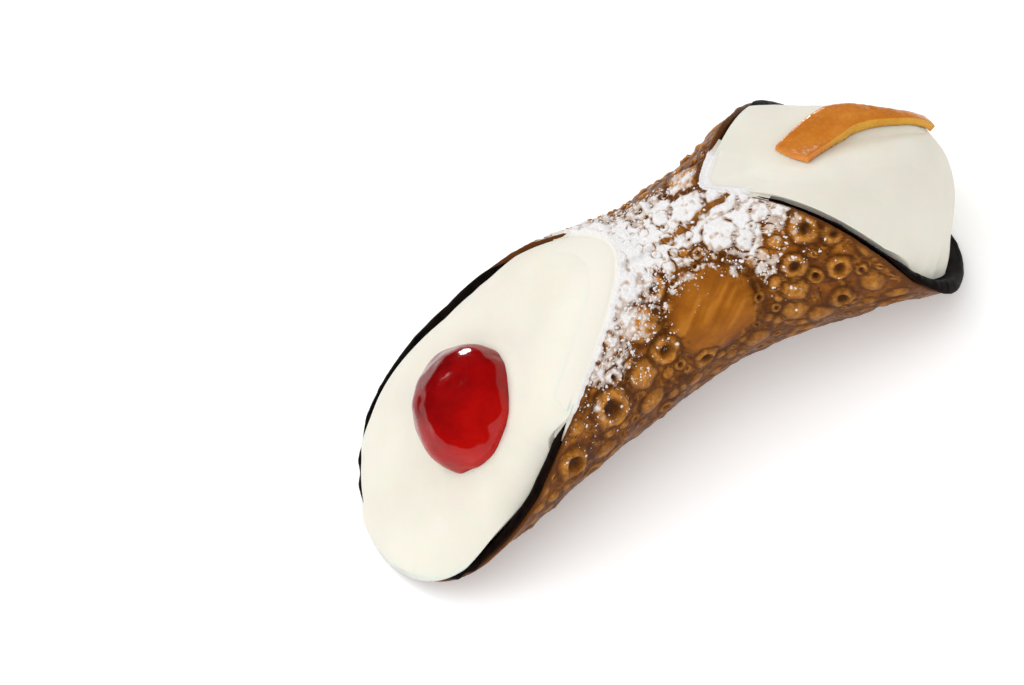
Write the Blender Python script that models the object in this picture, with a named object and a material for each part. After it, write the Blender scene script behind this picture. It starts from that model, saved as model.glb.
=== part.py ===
"""Filled pastry tube: a blistered fried shell with two oblique flared mouths, a dark lining,
one solid run of ricotta cream that domes out of both mouths, a candied cherry and a strip of
candied orange peel.  Metres, +Z up, the long axis on X, resting on the two lower lips."""
import math
import random

import bmesh
import bpy
import numpy as np
from mathutils import Matrix

# The tube: how far each mouth reaches along X from the waist, and how the section grows toward it
WAIST_RADIUS = 0.0185
NEAR_LIP_REACH = 0.0732
NEAR_TOP_REACH = 0.0076
NEAR_MOUTH_POWER = 0.94
NEAR_MOUTH_TURN = math.radians(-4.4)
NEAR_WIDEN = 0.0148
NEAR_RISE = 0.0186
NEAR_BEND = 0.0120
NEAR_DROOP = 0.0
FAR_LIP_REACH = 0.0478
FAR_LIP_SWELL = (math.radians(167.0), math.radians(41.0), 0.0042)
FAR_TOP_REACH = 0.0116
FAR_MOUTH_POWER = 0.44
FAR_MOUTH_CORNER = 0.10
FAR_MOUTH_TURN = math.radians(-6.6)
FAR_WIDEN = 0.0124
FAR_RISE = 0.0200
FAR_BEND = 0.0360
FAR_DROOP = 0.0094
FAR_SWAY = 0.0042
LENGTH_TILT = 0.077
FLOOR_LEVEL = -0.02370
SHIFT_X = 0.0075
SHIFT_Y = -0.0011

# The layers under the crust's outer face
SHELL_WALL = 0.0022
SHELL_RIM_WALL = 0.0009
LINING_WALL = 0.0012
LAYER_GAP = 0.0003
SHELL_RIM_ROUND = 0.0002
LINING_RIM_THICK = 0.0007
LINING_CLEAR = 0.0001
LINING_LUMP = 0.0007
NEAR_CREAM_BULGE = 0.0055
NEAR_CREAM_FULLNESS = 7.0
FAR_CREAM_BULGE = 0.0122
FAR_CREAM_FULLNESS = 1.9
CREAM_OVERHANG = 0.0025
CREAM_RAISE = 0.0018
FAR_CREAM_INSET = 0.055
# How far the cream hangs over the edge of each mouth: angle from the top in degrees, share
NEAR_OVERHANG = ((-180.0, 1.0), (-144.0, 1.0), (-130.0, 0.6), (-72.0, 0.45), (-46.0, 0.75), (-25.0, 1.0),
                 (58.0, 1.0), (80.0, 0.0), (134.0, 0.0), (146.0, 0.35), (160.0, 0.5), (172.0, 0.9),
                 (180.0, 1.0))
FAR_OVERHANG = ((-180.0, 0.0), (-118.0, 0.0), (-104.0, 0.5), (-88.0, 0.1), (-72.0, 0.1), (-60.0, 0.7),
                (-14.0, 0.9), (12.0, 0.9), (28.0, 0.7), (62.0, 0.65), (80.0, 0.0), (180.0, 0.0))
FAR_CREAM_LEAN = (0.88, 0.0, -0.50)

# The flap where the dough laps over itself, as x and angle from the top in degrees
SEAM_ANGLE = math.radians(10.0)
SEAM_LINE = ((-0.012, 11.0), (-0.002, 10.0), (0.0025, 11.5), (0.006, 11.5), (0.0088, 8.0),
             (0.0114, 8.5), (0.0165, 10.0), (0.030, 12.0))
SEAM_STEP = 0.0011
SEAM_FADE = math.radians(150.0)

# Frying blisters: x, angle from the top in degrees, radius, height
BIG_BUBBLE = (0.0015, 62.0, 0.0095, 0.0017)
BLISTERS = (
    (0.0247, 46.5, 0.0034, 0.0009), (0.0291, 55.0, 0.0024, 0.0006), (0.0274, 71.0, 0.0028, 0.0008),
    (0.0256, 88.0, 0.0028, 0.0008), (0.0320, 84.0, 0.0026, 0.0007), (0.0358, 96.0, 0.0024, 0.0006),
    (0.0340, 66.0, 0.0026, 0.0006), (0.0197, 61.5, 0.0030, 0.0007), (0.0181, 74.0, 0.0028, 0.0007),
    (0.0163, 87.0, 0.0028, 0.0007), (-0.0030, 88.0, 0.0026, 0.0007), (-0.0096, 66.5, 0.0034, 0.0010),
    (-0.0157, 71.0, 0.0032, 0.0009), (-0.0240, 75.0, 0.0045, 0.0013), (-0.0162, 91.0, 0.0032, 0.0008),
    (0.0206, 97.0, 0.0028, 0.0007), (0.0080, 98.0, 0.0028, 0.0007),
)
BLISTER_COUNT = 120
BLISTER_SEED = 11

# Toppings; a spot on the cream is given as its share of the way from the middle to the rim, and an angle
CHERRY_ALONG = 0.0128
CHERRY_ACROSS = 0.0112
CHERRY_HIGH = 0.0108
CHERRY_TURN = math.radians(35.0)
CHERRY_SPOT = (0.16, 81.0)
CHERRY_LIFT = 0.0006
PEEL_LIFT = 0.0004
PEEL_PROFILE = ((-1.0, 0.0), (-0.5, 0.0), (0.0, 0.0), (0.5, 0.0), (1.0, 0.0),
                (0.95, 0.9), (0.5, 1.0), (0.0, 1.05), (-0.5, 1.0), (-0.95, 0.9))
PEEL_STATIONS = 18
PEEL_LINE = ((0.715, -3.0, 0.0038, 0.0013), (0.635, -19.0, 0.0040, 0.0020), (0.56, -33.0, 0.0041, 0.0024),
             (0.46, -39.0, 0.0032, 0.0024), (0.35, -42.0, 0.0020, 0.0020), (0.20, -48.0, 0.0013, 0.0016),
             (0.17, -140.0, 0.0012, 0.0014))

# Mesh steps
COLUMNS = 36
OUTER_COLUMNS = 72
NEAR_RINGS = 27
FAR_RINGS = 16
NEAR_CORE_RINGS = 8
FAR_CORE_RINGS = 5
CAP_RINGS = 6

CAP_FRAMES = {}


def flare(x, lip, bend):
    """0 at the waist, 1 at the tip of the lip, straightening out along the way."""
    return (np.sqrt(1.0 + (x / bend) ** 2) - 1.0) / (math.sqrt(1.0 + (lip / bend) ** 2) - 1.0)


def section(x):
    """Centre height, half width and upper half height of the tube at x."""
    near = x < 0.0
    q = np.where(near, flare(x, NEAR_LIP_REACH, NEAR_BEND), flare(x, FAR_LIP_REACH, FAR_BEND))
    centre = LENGTH_TILT * x - np.where(near, NEAR_DROOP, FAR_DROOP) * q
    width = WAIST_RADIUS + np.where(near, NEAR_WIDEN, FAR_WIDEN) * q
    top = WAIST_RADIUS + np.where(near, NEAR_RISE, FAR_RISE) * q
    return centre, width, top


def mouth(angle, turn, power, corner):
    """Share of the way from the top of a mouth to its lower lip; corner rounds its upper end."""
    s = np.abs(np.sin((angle - turn) / 2.0))
    s = (np.sqrt(s * s + corner ** 2) - corner) / (math.sqrt(1.0 + corner ** 2) - corner)
    return s ** (2.0 * power)


def sway(x):
    """Sideways shift of the far end of the tube."""
    return np.where(x > 0.0, FAR_SWAY * flare(x, FAR_LIP_REACH, FAR_BEND), 0.0)


def smooth_tube(u, angle):
    """Point of the tube's outer face: u is -1 at the near mouth, 1 at the far one."""
    near = mouth(angle, NEAR_MOUTH_TURN, NEAR_MOUTH_POWER, 0.0)
    near = -(NEAR_TOP_REACH + (NEAR_LIP_REACH - NEAR_TOP_REACH) * near)
    far = mouth(angle, FAR_MOUTH_TURN, FAR_MOUTH_POWER, FAR_MOUTH_CORNER)
    far = FAR_TOP_REACH + (FAR_LIP_REACH - FAR_TOP_REACH) * far
    where, spread, swell = FAR_LIP_SWELL
    far = far + swell * np.exp(-(turn_between(angle, where) / spread) ** 2)
    x = np.where(u < 0.0, -u * near, u * far)
    centre, width, top = section(x)
    half = np.where(np.cos(angle) > 0.0, top, WAIST_RADIUS)
    return np.stack([x, sway(x) - width * np.sin(angle), centre + half * np.cos(angle)], axis=-1)


def frame_at(u, angle):
    """Outward normal of the smooth tube, and the direction that leads out of the nearer mouth."""
    step = 1e-4
    along = smooth_tube(u + step, angle) - smooth_tube(u - step, angle)
    around = smooth_tube(u, angle + step) - smooth_tube(u, angle - step)
    normal = np.cross(along, around)
    normal /= np.linalg.norm(normal, axis=-1, keepdims=True)
    point = smooth_tube(u, angle)
    middle = section(point[..., 0])[0]
    inward = np.stack([np.zeros_like(middle), -point[..., 1], middle - point[..., 2]], axis=-1)
    normal *= -np.sign((normal * inward).sum(axis=-1, keepdims=True))
    out = np.cross(normal, around)
    out /= np.linalg.norm(out, axis=-1, keepdims=True)
    out *= np.sign((out * along).sum(axis=-1, keepdims=True)) * np.sign(u)[..., None]
    return normal, out


def turn_between(a, b):
    return (a - b + math.pi) % (2.0 * math.pi) - math.pi


def scattered_blisters():
    """The named blisters and a seeded scatter of others between them."""
    rng = random.Random(BLISTER_SEED)
    spots = [(x, math.radians(a), r, h) for x, a, r, h in BLISTERS]
    bx, ba, br, bh = BIG_BUBBLE
    for _ in range(9000):
        if len(spots) >= BLISTER_COUNT:
            break
        x = rng.uniform(-0.060, 0.046)
        angle = rng.uniform(-math.pi, math.pi)
        radius = rng.uniform(0.0026, 0.0044)
        around = float(section(np.array(x))[1])
        others = spots + [(bx, math.radians(ba), br, bh)]
        gaps = [math.hypot(x - s[0], around * turn_between(angle, s[1])) / (radius + s[2]) for s in others]
        clear = min(gaps) > 0.85
        if clear:
            spots.append((x, angle, radius, radius * rng.uniform(0.20, 0.30)))
    return spots


def relief(u, angle, x, spots):
    """Height of the fried crust over the smooth tube."""
    around = section(x)[1]
    height = np.zeros_like(x)
    for sx, sa, radius, tall in spots:
        d = ((x - sx) ** 2 + (around * turn_between(angle, sa)) ** 2) / radius ** 2
        height += tall * np.clip(1.0 - d, 0.0, 1.0) ** 1.5
    bx, ba, radius, tall = BIG_BUBBLE
    d = ((x - bx) ** 2 + (around * turn_between(angle, math.radians(ba))) ** 2) / radius ** 2
    height += tall * np.clip(1.0 - d, 0.0, 1.0) ** 0.8
    height += 0.0003 * np.sin(x * 310.0 + 2.0 * np.sin(angle * 3.0)) * np.sin(angle * 5.0 + x * 120.0)
    height *= 0.35 + 0.65 * np.clip((1.0 - np.abs(u)) / 0.12, 0.0, 1.0)
    behind = (seam_angle(x) - angle) % (2.0 * math.pi)
    height += SEAM_STEP * np.clip(1.0 - behind / SEAM_FADE, 0.0, 1.0)
    return height


def seam_angle(x):
    points = np.array(SEAM_LINE)
    return np.radians(np.interp(x, points[:, 0], points[:, 1]))


def wall(u, thick, rim_thick):
    """Wall thickness that thins toward the rims."""
    t = np.clip((np.abs(u) - 0.70) / 0.30, 0.0, 1.0)
    return thick + (rim_thick - thick) * t * t * (3.0 - 2.0 * t)


def ring(u, angles, depth, reach=0.0):
    """Closed ring of points at one u, sunk below the smooth tube and pushed out of the mouth."""
    us = np.zeros_like(angles) + u
    normal, out = frame_at(us, angles)
    points = smooth_tube(us, angles) - depth * normal + reach * out
    points[:, 2] = np.maximum(points[:, 2], FLOOR_LEVEL + LINING_CLEAR)
    return points


def outer_ring(u, angles, spots):
    """Ring of the crust's outer face, its columns drawn to the edge of the flap."""
    us = np.full_like(angles, u)
    x = smooth_tube(us, angles)[:, 0]
    pull = np.exp(-(turn_between(angles, SEAM_ANGLE) / math.radians(30.0)) ** 2)
    moved = angles + (seam_angle(x) - SEAM_ANGLE) * pull
    normal, _ = frame_at(us, moved)
    x = smooth_tube(us, moved)[:, 0]
    height = relief(us, moved, x, spots)
    points = smooth_tube(us, moved) + height[:, None] * normal
    points[:, 2] = np.maximum(points[:, 2], FLOOR_LEVEL)
    return points


def columns(count):
    """Angles of the columns; two of them are drawn close to the flap's edge."""
    angles = SEAM_ANGLE + np.arange(count) * 2.0 * math.pi / count
    if count == OUTER_COLUMNS:
        angles[0] += math.radians(0.7)
        angles[-1] = SEAM_ANGLE - math.radians(0.7)
        angles[1] = SEAM_ANGLE + math.radians(5.5)
    return angles


def core_steps():
    """The u of the rings that the inner faces share, so that their gaps stay even."""
    near = -np.linspace(1.0, 0.0, NEAR_CORE_RINGS, endpoint=False)
    far = np.linspace(0.0, 1.0, FAR_CORE_RINGS + 1)
    return list(near) + list(far)


def crust_steps():
    near = -np.linspace(1.0, 0.0, NEAR_RINGS, endpoint=False)
    far = np.linspace(0.0, 1.0, FAR_RINGS + 1)
    return list(near) + list(far)


def strip(first, second):
    """Faces between two rings given as lists of vertex numbers."""
    faces = []
    if len(first) == 1:
        return [(first[0], second[(j + 1) % len(second)], second[j]) for j in range(len(second))]
    if len(second) == 1:
        return [(first[j], first[(j + 1) % len(first)], second[0]) for j in range(len(first))]
    if len(first) == 2 * len(second):
        count = len(second)
        for j in range(count):
            a, b, c = first[2 * j], first[2 * j + 1], first[(2 * j + 2) % len(first)]
            d, e = second[j], second[(j + 1) % count]
            faces += [(a, b, d), (b, e, d), (b, c, e)]
        return faces
    if len(second) == 2 * len(first):
        return [tuple(reversed(face)) for face in strip(second, first)]
    count = len(first)
    for j in range(count):
        k = (j + 1) % count
        faces += [(first[j], first[k], second[k]), (first[j], second[k], second[j])]
    return faces


def rings_to_mesh(name, rings, looped):
    """Closed triangle mesh over a list of rings; looped joins the last ring to the first."""
    points = []
    numbers = []
    for one in rings:
        one = np.atleast_2d(one)
        numbers.append(list(range(len(points), len(points) + len(one))))
        points.extend(tuple(p) for p in one)
    faces = []
    for first, second in zip(numbers, numbers[1:]):
        faces += strip(first, second)
    if looped:
        faces += strip(numbers[-1], numbers[0])
    mesh = bpy.data.meshes.new(name)
    mesh.from_pydata(points, [], faces)
    mesh.update()
    work = bmesh.new()
    work.from_mesh(mesh)
    bmesh.ops.recalc_face_normals(work, faces=work.faces)
    if work.calc_volume(signed=True) < 0.0:
        bmesh.ops.reverse_faces(work, faces=work.faces)
    work.to_mesh(mesh)
    work.free()
    mesh.polygons.foreach_set("use_smooth", [True] * len(mesh.polygons))
    return mesh


def add_object(name, mesh, collection, material=None):
    mesh.transform(SHIFT)
    thing = bpy.data.objects.new(name, mesh)
    collection.objects.link(thing)
    if material is not None:
        mesh.materials.append(material)
    return thing


def make_material(name, colour, roughness):
    material = bpy.data.materials.new(name)
    material.use_nodes = True
    shader = next(n for n in material.node_tree.nodes if n.type == "BSDF_PRINCIPLED")
    shader.inputs["Base Color"].default_value = (*colour, 1.0)
    shader.inputs["Roughness"].default_value = roughness
    shader.inputs["Metallic"].default_value = 0.0
    material.diffuse_color = (*colour, 1.0)
    return material


def build_shell(spots):
    fine = columns(OUTER_COLUMNS)
    coarse = columns(COLUMNS)
    rings = [outer_ring(u, fine, spots) for u in crust_steps()]
    rims = {}
    for end, edge in ((1.0, rings[-1]), (-1.0, rings[0])):
        us = np.full_like(fine, end)
        normal, out = frame_at(us, fine)
        rims[end] = edge - 0.4 * SHELL_RIM_WALL * normal + SHELL_RIM_ROUND * out
        rims[end][:, 2] = np.maximum(rims[end][:, 2], FLOOR_LEVEL)
    rings.append(rims[1.0])
    for u in reversed(core_steps()):
        rings.append(ring(u, coarse, float(wall(u, SHELL_WALL, SHELL_RIM_WALL))))
    rings.append(rims[-1.0])
    return rings_to_mesh("shell", rings, True)


def eased(share):
    share = np.clip(share, 0.0, 1.0)
    return share * share * (3.0 - 2.0 * share)


def overhang(end, angles):
    """Share by which the cream hangs over the edge of a mouth."""
    points = np.array(FAR_OVERHANG if end > 0.0 else NEAR_OVERHANG)
    return np.interp(np.degrees(turn_between(angles, 0.0)), points[:, 0], points[:, 1])


def lining_lumps(end, angles):
    """Extra thickness of the lining's edge, uneven like set chocolate, none under overhanging cream."""
    lumps = np.sin(5.0 * angles + 0.8) * np.sin(3.0 * angles + 2.1)
    return (LINING_LUMP * np.clip(lumps, 0.0, 1.0) * (1.0 - eased(overhang(end, angles) * 5.0)))[:, None]


def far_u(angles):
    """Where the cream ends in the far mouth: drawn back from the tip of the lip."""
    back = eased(1.7 - np.abs(turn_between(angles, math.radians(160.0))) / math.radians(42.0))
    return 1.0 - FAR_CREAM_INSET * back


def cream_rim(end, angles, sink=0.0):
    """Where the face of the cream starts in a mouth; sink gives its underside over the lining."""
    share = overhang(end, angles)
    raised = CREAM_RAISE * eased(share / 0.3) * (1.0 - 0.4 * eased(2.0 * share - 1.0))
    over = CREAM_OVERHANG * eased((share - 0.25) / 0.75)
    u = far_u(angles) if end > 0.0 else np.full_like(angles, -1.0)
    if sink > 0.0:
        return ring(u, angles, cream_depth(u)[:, None], (raised * (1.0 - sink))[:, None])
    return ring(u, angles, (cream_depth(u) - over)[:, None], raised[:, None])


def lining_edge(end, angles):
    """The lining's rolled edge, which laps over the end of the crust but not under overhanging cream."""
    covered = eased(2.0 * overhang(end, angles) - 0.6)[:, None]
    lower = SHELL_RIM_ROUND + LAYER_GAP
    upper = lower + LINING_RIM_THICK * (1.0 - 0.8 * covered) + lining_lumps(end, angles)
    inner = SHELL_RIM_WALL + LAYER_GAP
    lap = 0.0001 + 0.8 * inner * covered
    return [
        ring(end, angles, inner, lower),
        ring(end, angles, lap, lower),
        ring(end, angles, lap, 0.35 * lower + 0.65 * upper),
        ring(end, angles, 0.55 * lap + 0.45 * inner, upper),
        ring(end, angles, inner + 0.6 * LINING_WALL, upper),
        ring(end, angles, inner + LINING_WALL, 0.3 * upper),
    ]


def build_lining():
    angles = columns(COLUMNS)
    crust = {u: float(wall(u, SHELL_WALL, SHELL_RIM_WALL)) + LAYER_GAP for u in core_steps()}
    outside = [ring(u, angles, depth) for u, depth in crust.items()]
    inside = [ring(u, angles, depth + LINING_WALL) for u, depth in crust.items()]
    near_edge = lining_edge(-1.0, angles)
    rings = outside + lining_edge(1.0, angles) + inside[::-1] + near_edge[::-1]
    return rings_to_mesh("lining", rings, True)


def cream_depth(u):
    return wall(u, SHELL_WALL, SHELL_RIM_WALL) + LINING_WALL + 2.0 * LAYER_GAP


def cap_frame(end):
    """Centre and outward direction of a mouth's cream, from its rim, worked out once."""
    if end in CAP_FRAMES:
        return CAP_FRAMES[end]
    angles = np.arange(180) * 2.0 * math.pi / 180
    rim = cream_rim(end, angles)
    ahead = np.roll(rim, -1, axis=0)
    area = np.cross(rim - rim.mean(axis=0), ahead - rim.mean(axis=0))
    weight = np.linalg.norm(area, axis=1, keepdims=True)
    centre = ((rim + ahead) / 3.0 * weight).sum(axis=0) / weight.sum() + rim.mean(axis=0) / 3.0
    normal = area.sum(axis=0)
    normal /= np.linalg.norm(normal)
    if normal[0] * end < 0.0:
        normal = -normal
    CAP_FRAMES[end] = (centre, normal)
    return centre, normal


def cap_point(end, rho, angles):
    """Point of the cream's face in a mouth: rho is 0 at its middle and 1 at the rim."""
    centre, normal = cap_frame(end)
    rim = cream_rim(end, angles)
    rho = np.broadcast_to(np.asarray(rho, dtype=float), angles.shape)[..., None]
    if end < 0.0:
        lift = NEAR_CREAM_BULGE * (1.0 - rho ** NEAR_CREAM_FULLNESS)
    else:
        lift = FAR_CREAM_BULGE * (1.0 - rho ** FAR_CREAM_FULLNESS)
        normal = normal + np.array(FAR_CREAM_LEAN)
    return centre + rho * (rim - centre) + lift * normal


def build_cream():
    angles = columns(COLUMNS)
    steps = [1.0 - (k / CAP_RINGS) ** 1.25 for k in range(CAP_RINGS)]
    near = [cap_point(-1.0, rho, angles) for rho in steps[1:]]
    far = [cap_point(1.0, rho, angles) for rho in steps[1:]]
    tube = [ring(u, angles, cream_depth(u)) for u in core_steps()[1:-1]]
    near_edge = [cream_rim(-1.0, angles), cream_rim(-1.0, angles, 0.2)]
    far_edge = [cream_rim(1.0, angles, 0.2), cream_rim(1.0, angles)]
    near_pole = cap_point(-1.0, 0.0, angles[:1])
    far_pole = cap_point(1.0, 0.0, angles[:1])
    rings = [near_pole] + list(reversed(near)) + near_edge + tube + far_edge + far + [far_pole]
    return rings_to_mesh("cream", rings, False)


def cherry_axes():
    """Centre of the cherry and its along, across and up directions."""
    _, up = cap_frame(-1.0)
    rho, degrees = CHERRY_SPOT
    spot = cap_point(-1.0, rho, np.array([math.radians(degrees)]))[0]
    across = np.cross(up, np.array([1.0, 0.0, 0.0]))
    across /= np.linalg.norm(across)
    along = np.cross(across, up)
    if across[1] < 0.0:
        across = -across
    if along[0] > 0.0:
        along = -along
    c = math.cos(CHERRY_TURN)
    s = math.sin(CHERRY_TURN)
    across, along = c * along + s * across, c * across - s * along
    return spot + CHERRY_LIFT * up, along, across, up


def cherry_mesh(name, extra):
    """Slightly flattened, dimpled ball; extra makes the pocket that clears it."""
    centre, along, across, up = cherry_axes()
    rows, turns = 13, 26
    lon = np.arange(turns) * 2.0 * math.pi / turns
    rings = []
    for k in range(rows + 1):
        lat = math.pi * k / rows
        direction = (math.cos(lat) * up + math.sin(lat) * (np.cos(lon)[:, None] * along
                     + np.sin(lon)[:, None] * across))
        if k in (0, rows):
            direction = direction[:1]
        a = direction @ along
        b = direction @ across
        c = direction @ up
        size = 1.0 / np.sqrt((a / CHERRY_ALONG) ** 2 + (b / CHERRY_ACROSS) ** 2 + (c / CHERRY_HIGH) ** 2)
        size *= 1.0 - 0.10 * np.exp(-((a + 0.45) ** 2 + (b + 0.5) ** 2) / 0.12) * (c > -0.2)
        size *= 1.0 + 0.012 * np.sin(7.0 * a + 3.0 * b) + 0.010 * np.sin(9.0 * b - 4.0 * c)
        rings.append(centre + (size + extra)[:, None] * direction)
    return rings_to_mesh(name, rings, False)


def far_dome(flat):
    """Point of the far cream's face over a point of its flat map."""
    return cap_point(1.0, np.hypot(flat[0], flat[1]), np.array([math.atan2(flat[1], flat[0])]))[0]


def dome_slopes(spot):
    """How a point of the far dome moves with each coordinate of the flat map."""
    step = 0.02
    moves = [far_dome(spot + step * axis) - far_dome(spot - step * axis) for axis in np.eye(2)]
    return np.stack(moves, axis=1) / (2.0 * step)


def peel_station(share):
    """Place on the flat map, half width and thickness of the peel at a share of its length."""
    table = np.array(PEEL_LINE)
    turn = np.radians(table[:, 1])
    steps = np.linspace(0.0, 1.0, len(table))
    curves = [np.polyfit(steps, table[:, 0] * turned, 3) for turned in (np.cos(turn), np.sin(turn))]
    spot = np.array([np.polyval(c, share) for c in curves])
    half, thick = (float(np.interp(share, steps, table[:, k])) for k in (2, 3))
    return spot, half, thick


def on_dome(spot, target):
    """Point of the far dome nearest a target, searched from a place on the flat map."""
    for _ in range(6):
        slopes = dome_slopes(spot)
        spot = spot + 0.8 * np.linalg.lstsq(slopes, target - far_dome(spot), rcond=None)[0]
    return far_dome(spot)


def peel_mesh():
    """Wedge-cut strip of peel that follows the dome of the far cream."""
    rings = []
    outward = cap_frame(1.0)[1]
    for share in np.linspace(0.0, 1.0, PEEL_STATIONS):
        spot, half, thick = peel_station(share)
        ends = [peel_station(np.clip(share + step, 0.0, 1.0))[0] for step in (0.05, -0.03)]
        along = far_dome(ends[0]) - far_dome(ends[1])
        middle = far_dome(spot)
        slopes = dome_slopes(spot)
        up = np.cross(slopes[:, 0], slopes[:, 1])
        up *= np.sign(up @ outward) / np.linalg.norm(up)
        side = np.cross(up, along)
        side *= half / np.linalg.norm(side)
        rings.append(np.array([on_dome(spot, middle + v * side) + up * (PEEL_LIFT + raised * thick)
                               for v, raised in PEEL_PROFILE]))
    return rings_to_mesh("orange_peel", [rings[0].mean(axis=0)] + rings + [rings[-1].mean(axis=0)], False)


def cut(target, cutter):
    """Boolean difference applied to the target's own mesh."""
    modifier = target.modifiers.new("pocket", "BOOLEAN")
    modifier.operation = "DIFFERENCE"
    modifier.solver = "EXACT"
    modifier.object = cutter
    bpy.context.view_layer.update()
    result = bpy.data.meshes.new_from_object(target.evaluated_get(bpy.context.evaluated_depsgraph_get()))
    target.modifiers.remove(modifier)
    target.data = result
    result.polygons.foreach_set("use_smooth", [True] * len(result.polygons))


for thing in list(bpy.data.objects):
    bpy.data.objects.remove(thing, do_unlink=True)

pastry = bpy.data.collections.new("cannoli")
cutters = bpy.data.collections.new("cutters")
bpy.context.scene.collection.children.link(pastry)
bpy.context.scene.collection.children.link(cutters)

blisters = scattered_blisters()
SHIFT = Matrix.Translation((SHIFT_X, SHIFT_Y, -FLOOR_LEVEL))

CRUST = make_material("fried_crust", (0.42, 0.185, 0.045), 0.5)
CHOCOLATE = make_material("dark_lining", (0.018, 0.010, 0.007), 0.35)
CREAM = make_material("ricotta_cream", (0.86, 0.83, 0.76), 0.5)
CHERRY = make_material("candied_cherry", (0.36, 0.008, 0.010), 0.2)
PEEL = make_material("candied_peel", (0.72, 0.27, 0.03), 0.35)

shell = add_object("shell", build_shell(blisters), pastry, CRUST)
lining = add_object("lining", build_lining(), pastry, CHOCOLATE)
cream = add_object("cream", build_cream(), pastry, CREAM)
cherry = add_object("cherry", cherry_mesh("cherry", 0.0), pastry, CHERRY)
peel = add_object("orange_peel", peel_mesh(), pastry, PEEL)
pocket = add_object("cherry_pocket", cherry_mesh("cherry_pocket", LAYER_GAP), cutters)
pocket.hide_render = True
pocket.display_type = "WIRE"
cut(cream, pocket)
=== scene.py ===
"""Looks of the filled pastry tube: fried crust with blisters, dark lining, ricotta cream, candied
cherry, candied orange peel and a dusting of icing sugar.  Metres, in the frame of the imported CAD."""
import functools
import math
import random

import bmesh
import bpy
import numpy as np
from mathutils import Matrix, Vector


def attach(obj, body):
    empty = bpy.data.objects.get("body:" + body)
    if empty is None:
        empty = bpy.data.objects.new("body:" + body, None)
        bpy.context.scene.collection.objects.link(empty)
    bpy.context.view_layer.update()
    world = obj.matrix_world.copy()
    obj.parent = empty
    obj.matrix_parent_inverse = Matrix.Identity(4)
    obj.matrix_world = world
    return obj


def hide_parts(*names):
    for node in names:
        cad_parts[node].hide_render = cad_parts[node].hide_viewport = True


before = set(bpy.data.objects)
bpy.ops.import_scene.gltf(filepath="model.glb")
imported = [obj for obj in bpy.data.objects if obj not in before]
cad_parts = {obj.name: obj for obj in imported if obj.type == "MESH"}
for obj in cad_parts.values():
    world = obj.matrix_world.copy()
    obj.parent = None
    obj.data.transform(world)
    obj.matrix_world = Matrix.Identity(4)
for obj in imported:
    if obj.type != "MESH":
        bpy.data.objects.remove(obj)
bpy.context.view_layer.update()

TAU = 2.0 * math.pi
MM = 0.001

# The tube, as in the CAD: reach of each mouth along X from the waist, and growth of the section
WAIST_RADIUS = 0.0185
NEAR_LIP_REACH = 0.0732
NEAR_TOP_REACH = 0.0076
NEAR_MOUTH_POWER = 0.94
NEAR_MOUTH_TURN = math.radians(-4.4)
NEAR_WIDEN = 0.0148
NEAR_RISE = 0.0186
NEAR_BEND = 0.0120
FAR_LIP_REACH = 0.0478
FAR_LIP_SWELL = (math.radians(167.0), math.radians(41.0), 0.0042)
FAR_TOP_REACH = 0.0116
FAR_MOUTH_POWER = 0.44
FAR_MOUTH_CORNER = 0.10
FAR_MOUTH_TURN = math.radians(-6.6)
FAR_WIDEN = 0.0124
FAR_RISE = 0.0200
FAR_BEND = 0.0360
FAR_DROOP = 0.0094
FAR_SWAY = 0.0042
LENGTH_TILT = 0.077
FLOOR_LEVEL = -0.02370
SHIFT = np.array([0.0075, -0.0011, -FLOOR_LEVEL])

# The layers; WALL_TAPER gives the u from which the walls get thinner, and over how much of it
SHELL_WALL = 0.0022
SHELL_RIM_WALL = 0.0009
WALL_TAPER = (0.70, 0.30)
LINING_WALL = 0.0012
LINING_RIM_THICK = 0.0007
LINING_CLEAR = 0.0001
LINING_LUMP = 0.0007
LAYER_GAP = 0.0003
SHELL_RIM_ROUND = 0.0002
NEAR_CREAM_BULGE = 0.0055
NEAR_CREAM_FULLNESS = 7.0
FAR_CREAM_BULGE = 0.0122
FAR_CREAM_FULLNESS = 1.9
FAR_CREAM_LEAN = np.array([0.88, 0.0, -0.50])
FAR_CREAM_INSET = 0.055
CREAM_OVERHANG = 0.0025
CREAM_RAISE = 0.0018
# How far the cream hangs over the edge of each mouth: angle from the top in degrees, share.  It
# differs a little from the CAD's, so that the lining's edge shows where it should.
NEAR_OVERHANG = ((-180.0, 0.45), (-168.0, 0.14), (-152.0, 0.12), (-146.0, 0.16), (-136.0, 0.09),
                 (-110.0, 0.09), (-76.0, 0.18), (-60.0, 0.75), (-25.0, 1.0), (66.0, 1.0), (79.0, 0.0),
                 (96.0, 0.0), (108.0, 0.30), (124.0, 0.56), (158.0, 0.60), (180.0, 0.45))
FAR_OVERHANG = ((-180.0, 0.0), (-118.0, 0.0), (-104.0, 0.5), (-88.0, 0.1), (-72.0, 0.1), (-60.0, 0.7),
                (-14.0, 0.9), (12.0, 0.9), (28.0, 0.7), (74.0, 0.65), (92.0, 0.0), (180.0, 0.0))

# The flap: x and angle from the top in degrees; its step is lower than the CAD's
SEAM_ANGLE = math.radians(10.0)
SEAM_LINE = ((-0.012, 11.0), (-0.002, 10.0), (0.0025, 11.5), (0.006, 11.5), (0.0088, 8.0),
             (0.0114, 8.5), (0.0165, 10.0), (0.030, 12.0))
SEAM_STEP = 0.0007
SEAM_FADE = math.radians(150.0)
SEAM_PULL = math.radians(30.0)
SEAM_RAGGED = math.radians(1.2)
SEAM_LIP = (0.15 * MM, 1.6 * MM)
SEAM_MARK = 0.5 * MM

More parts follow.
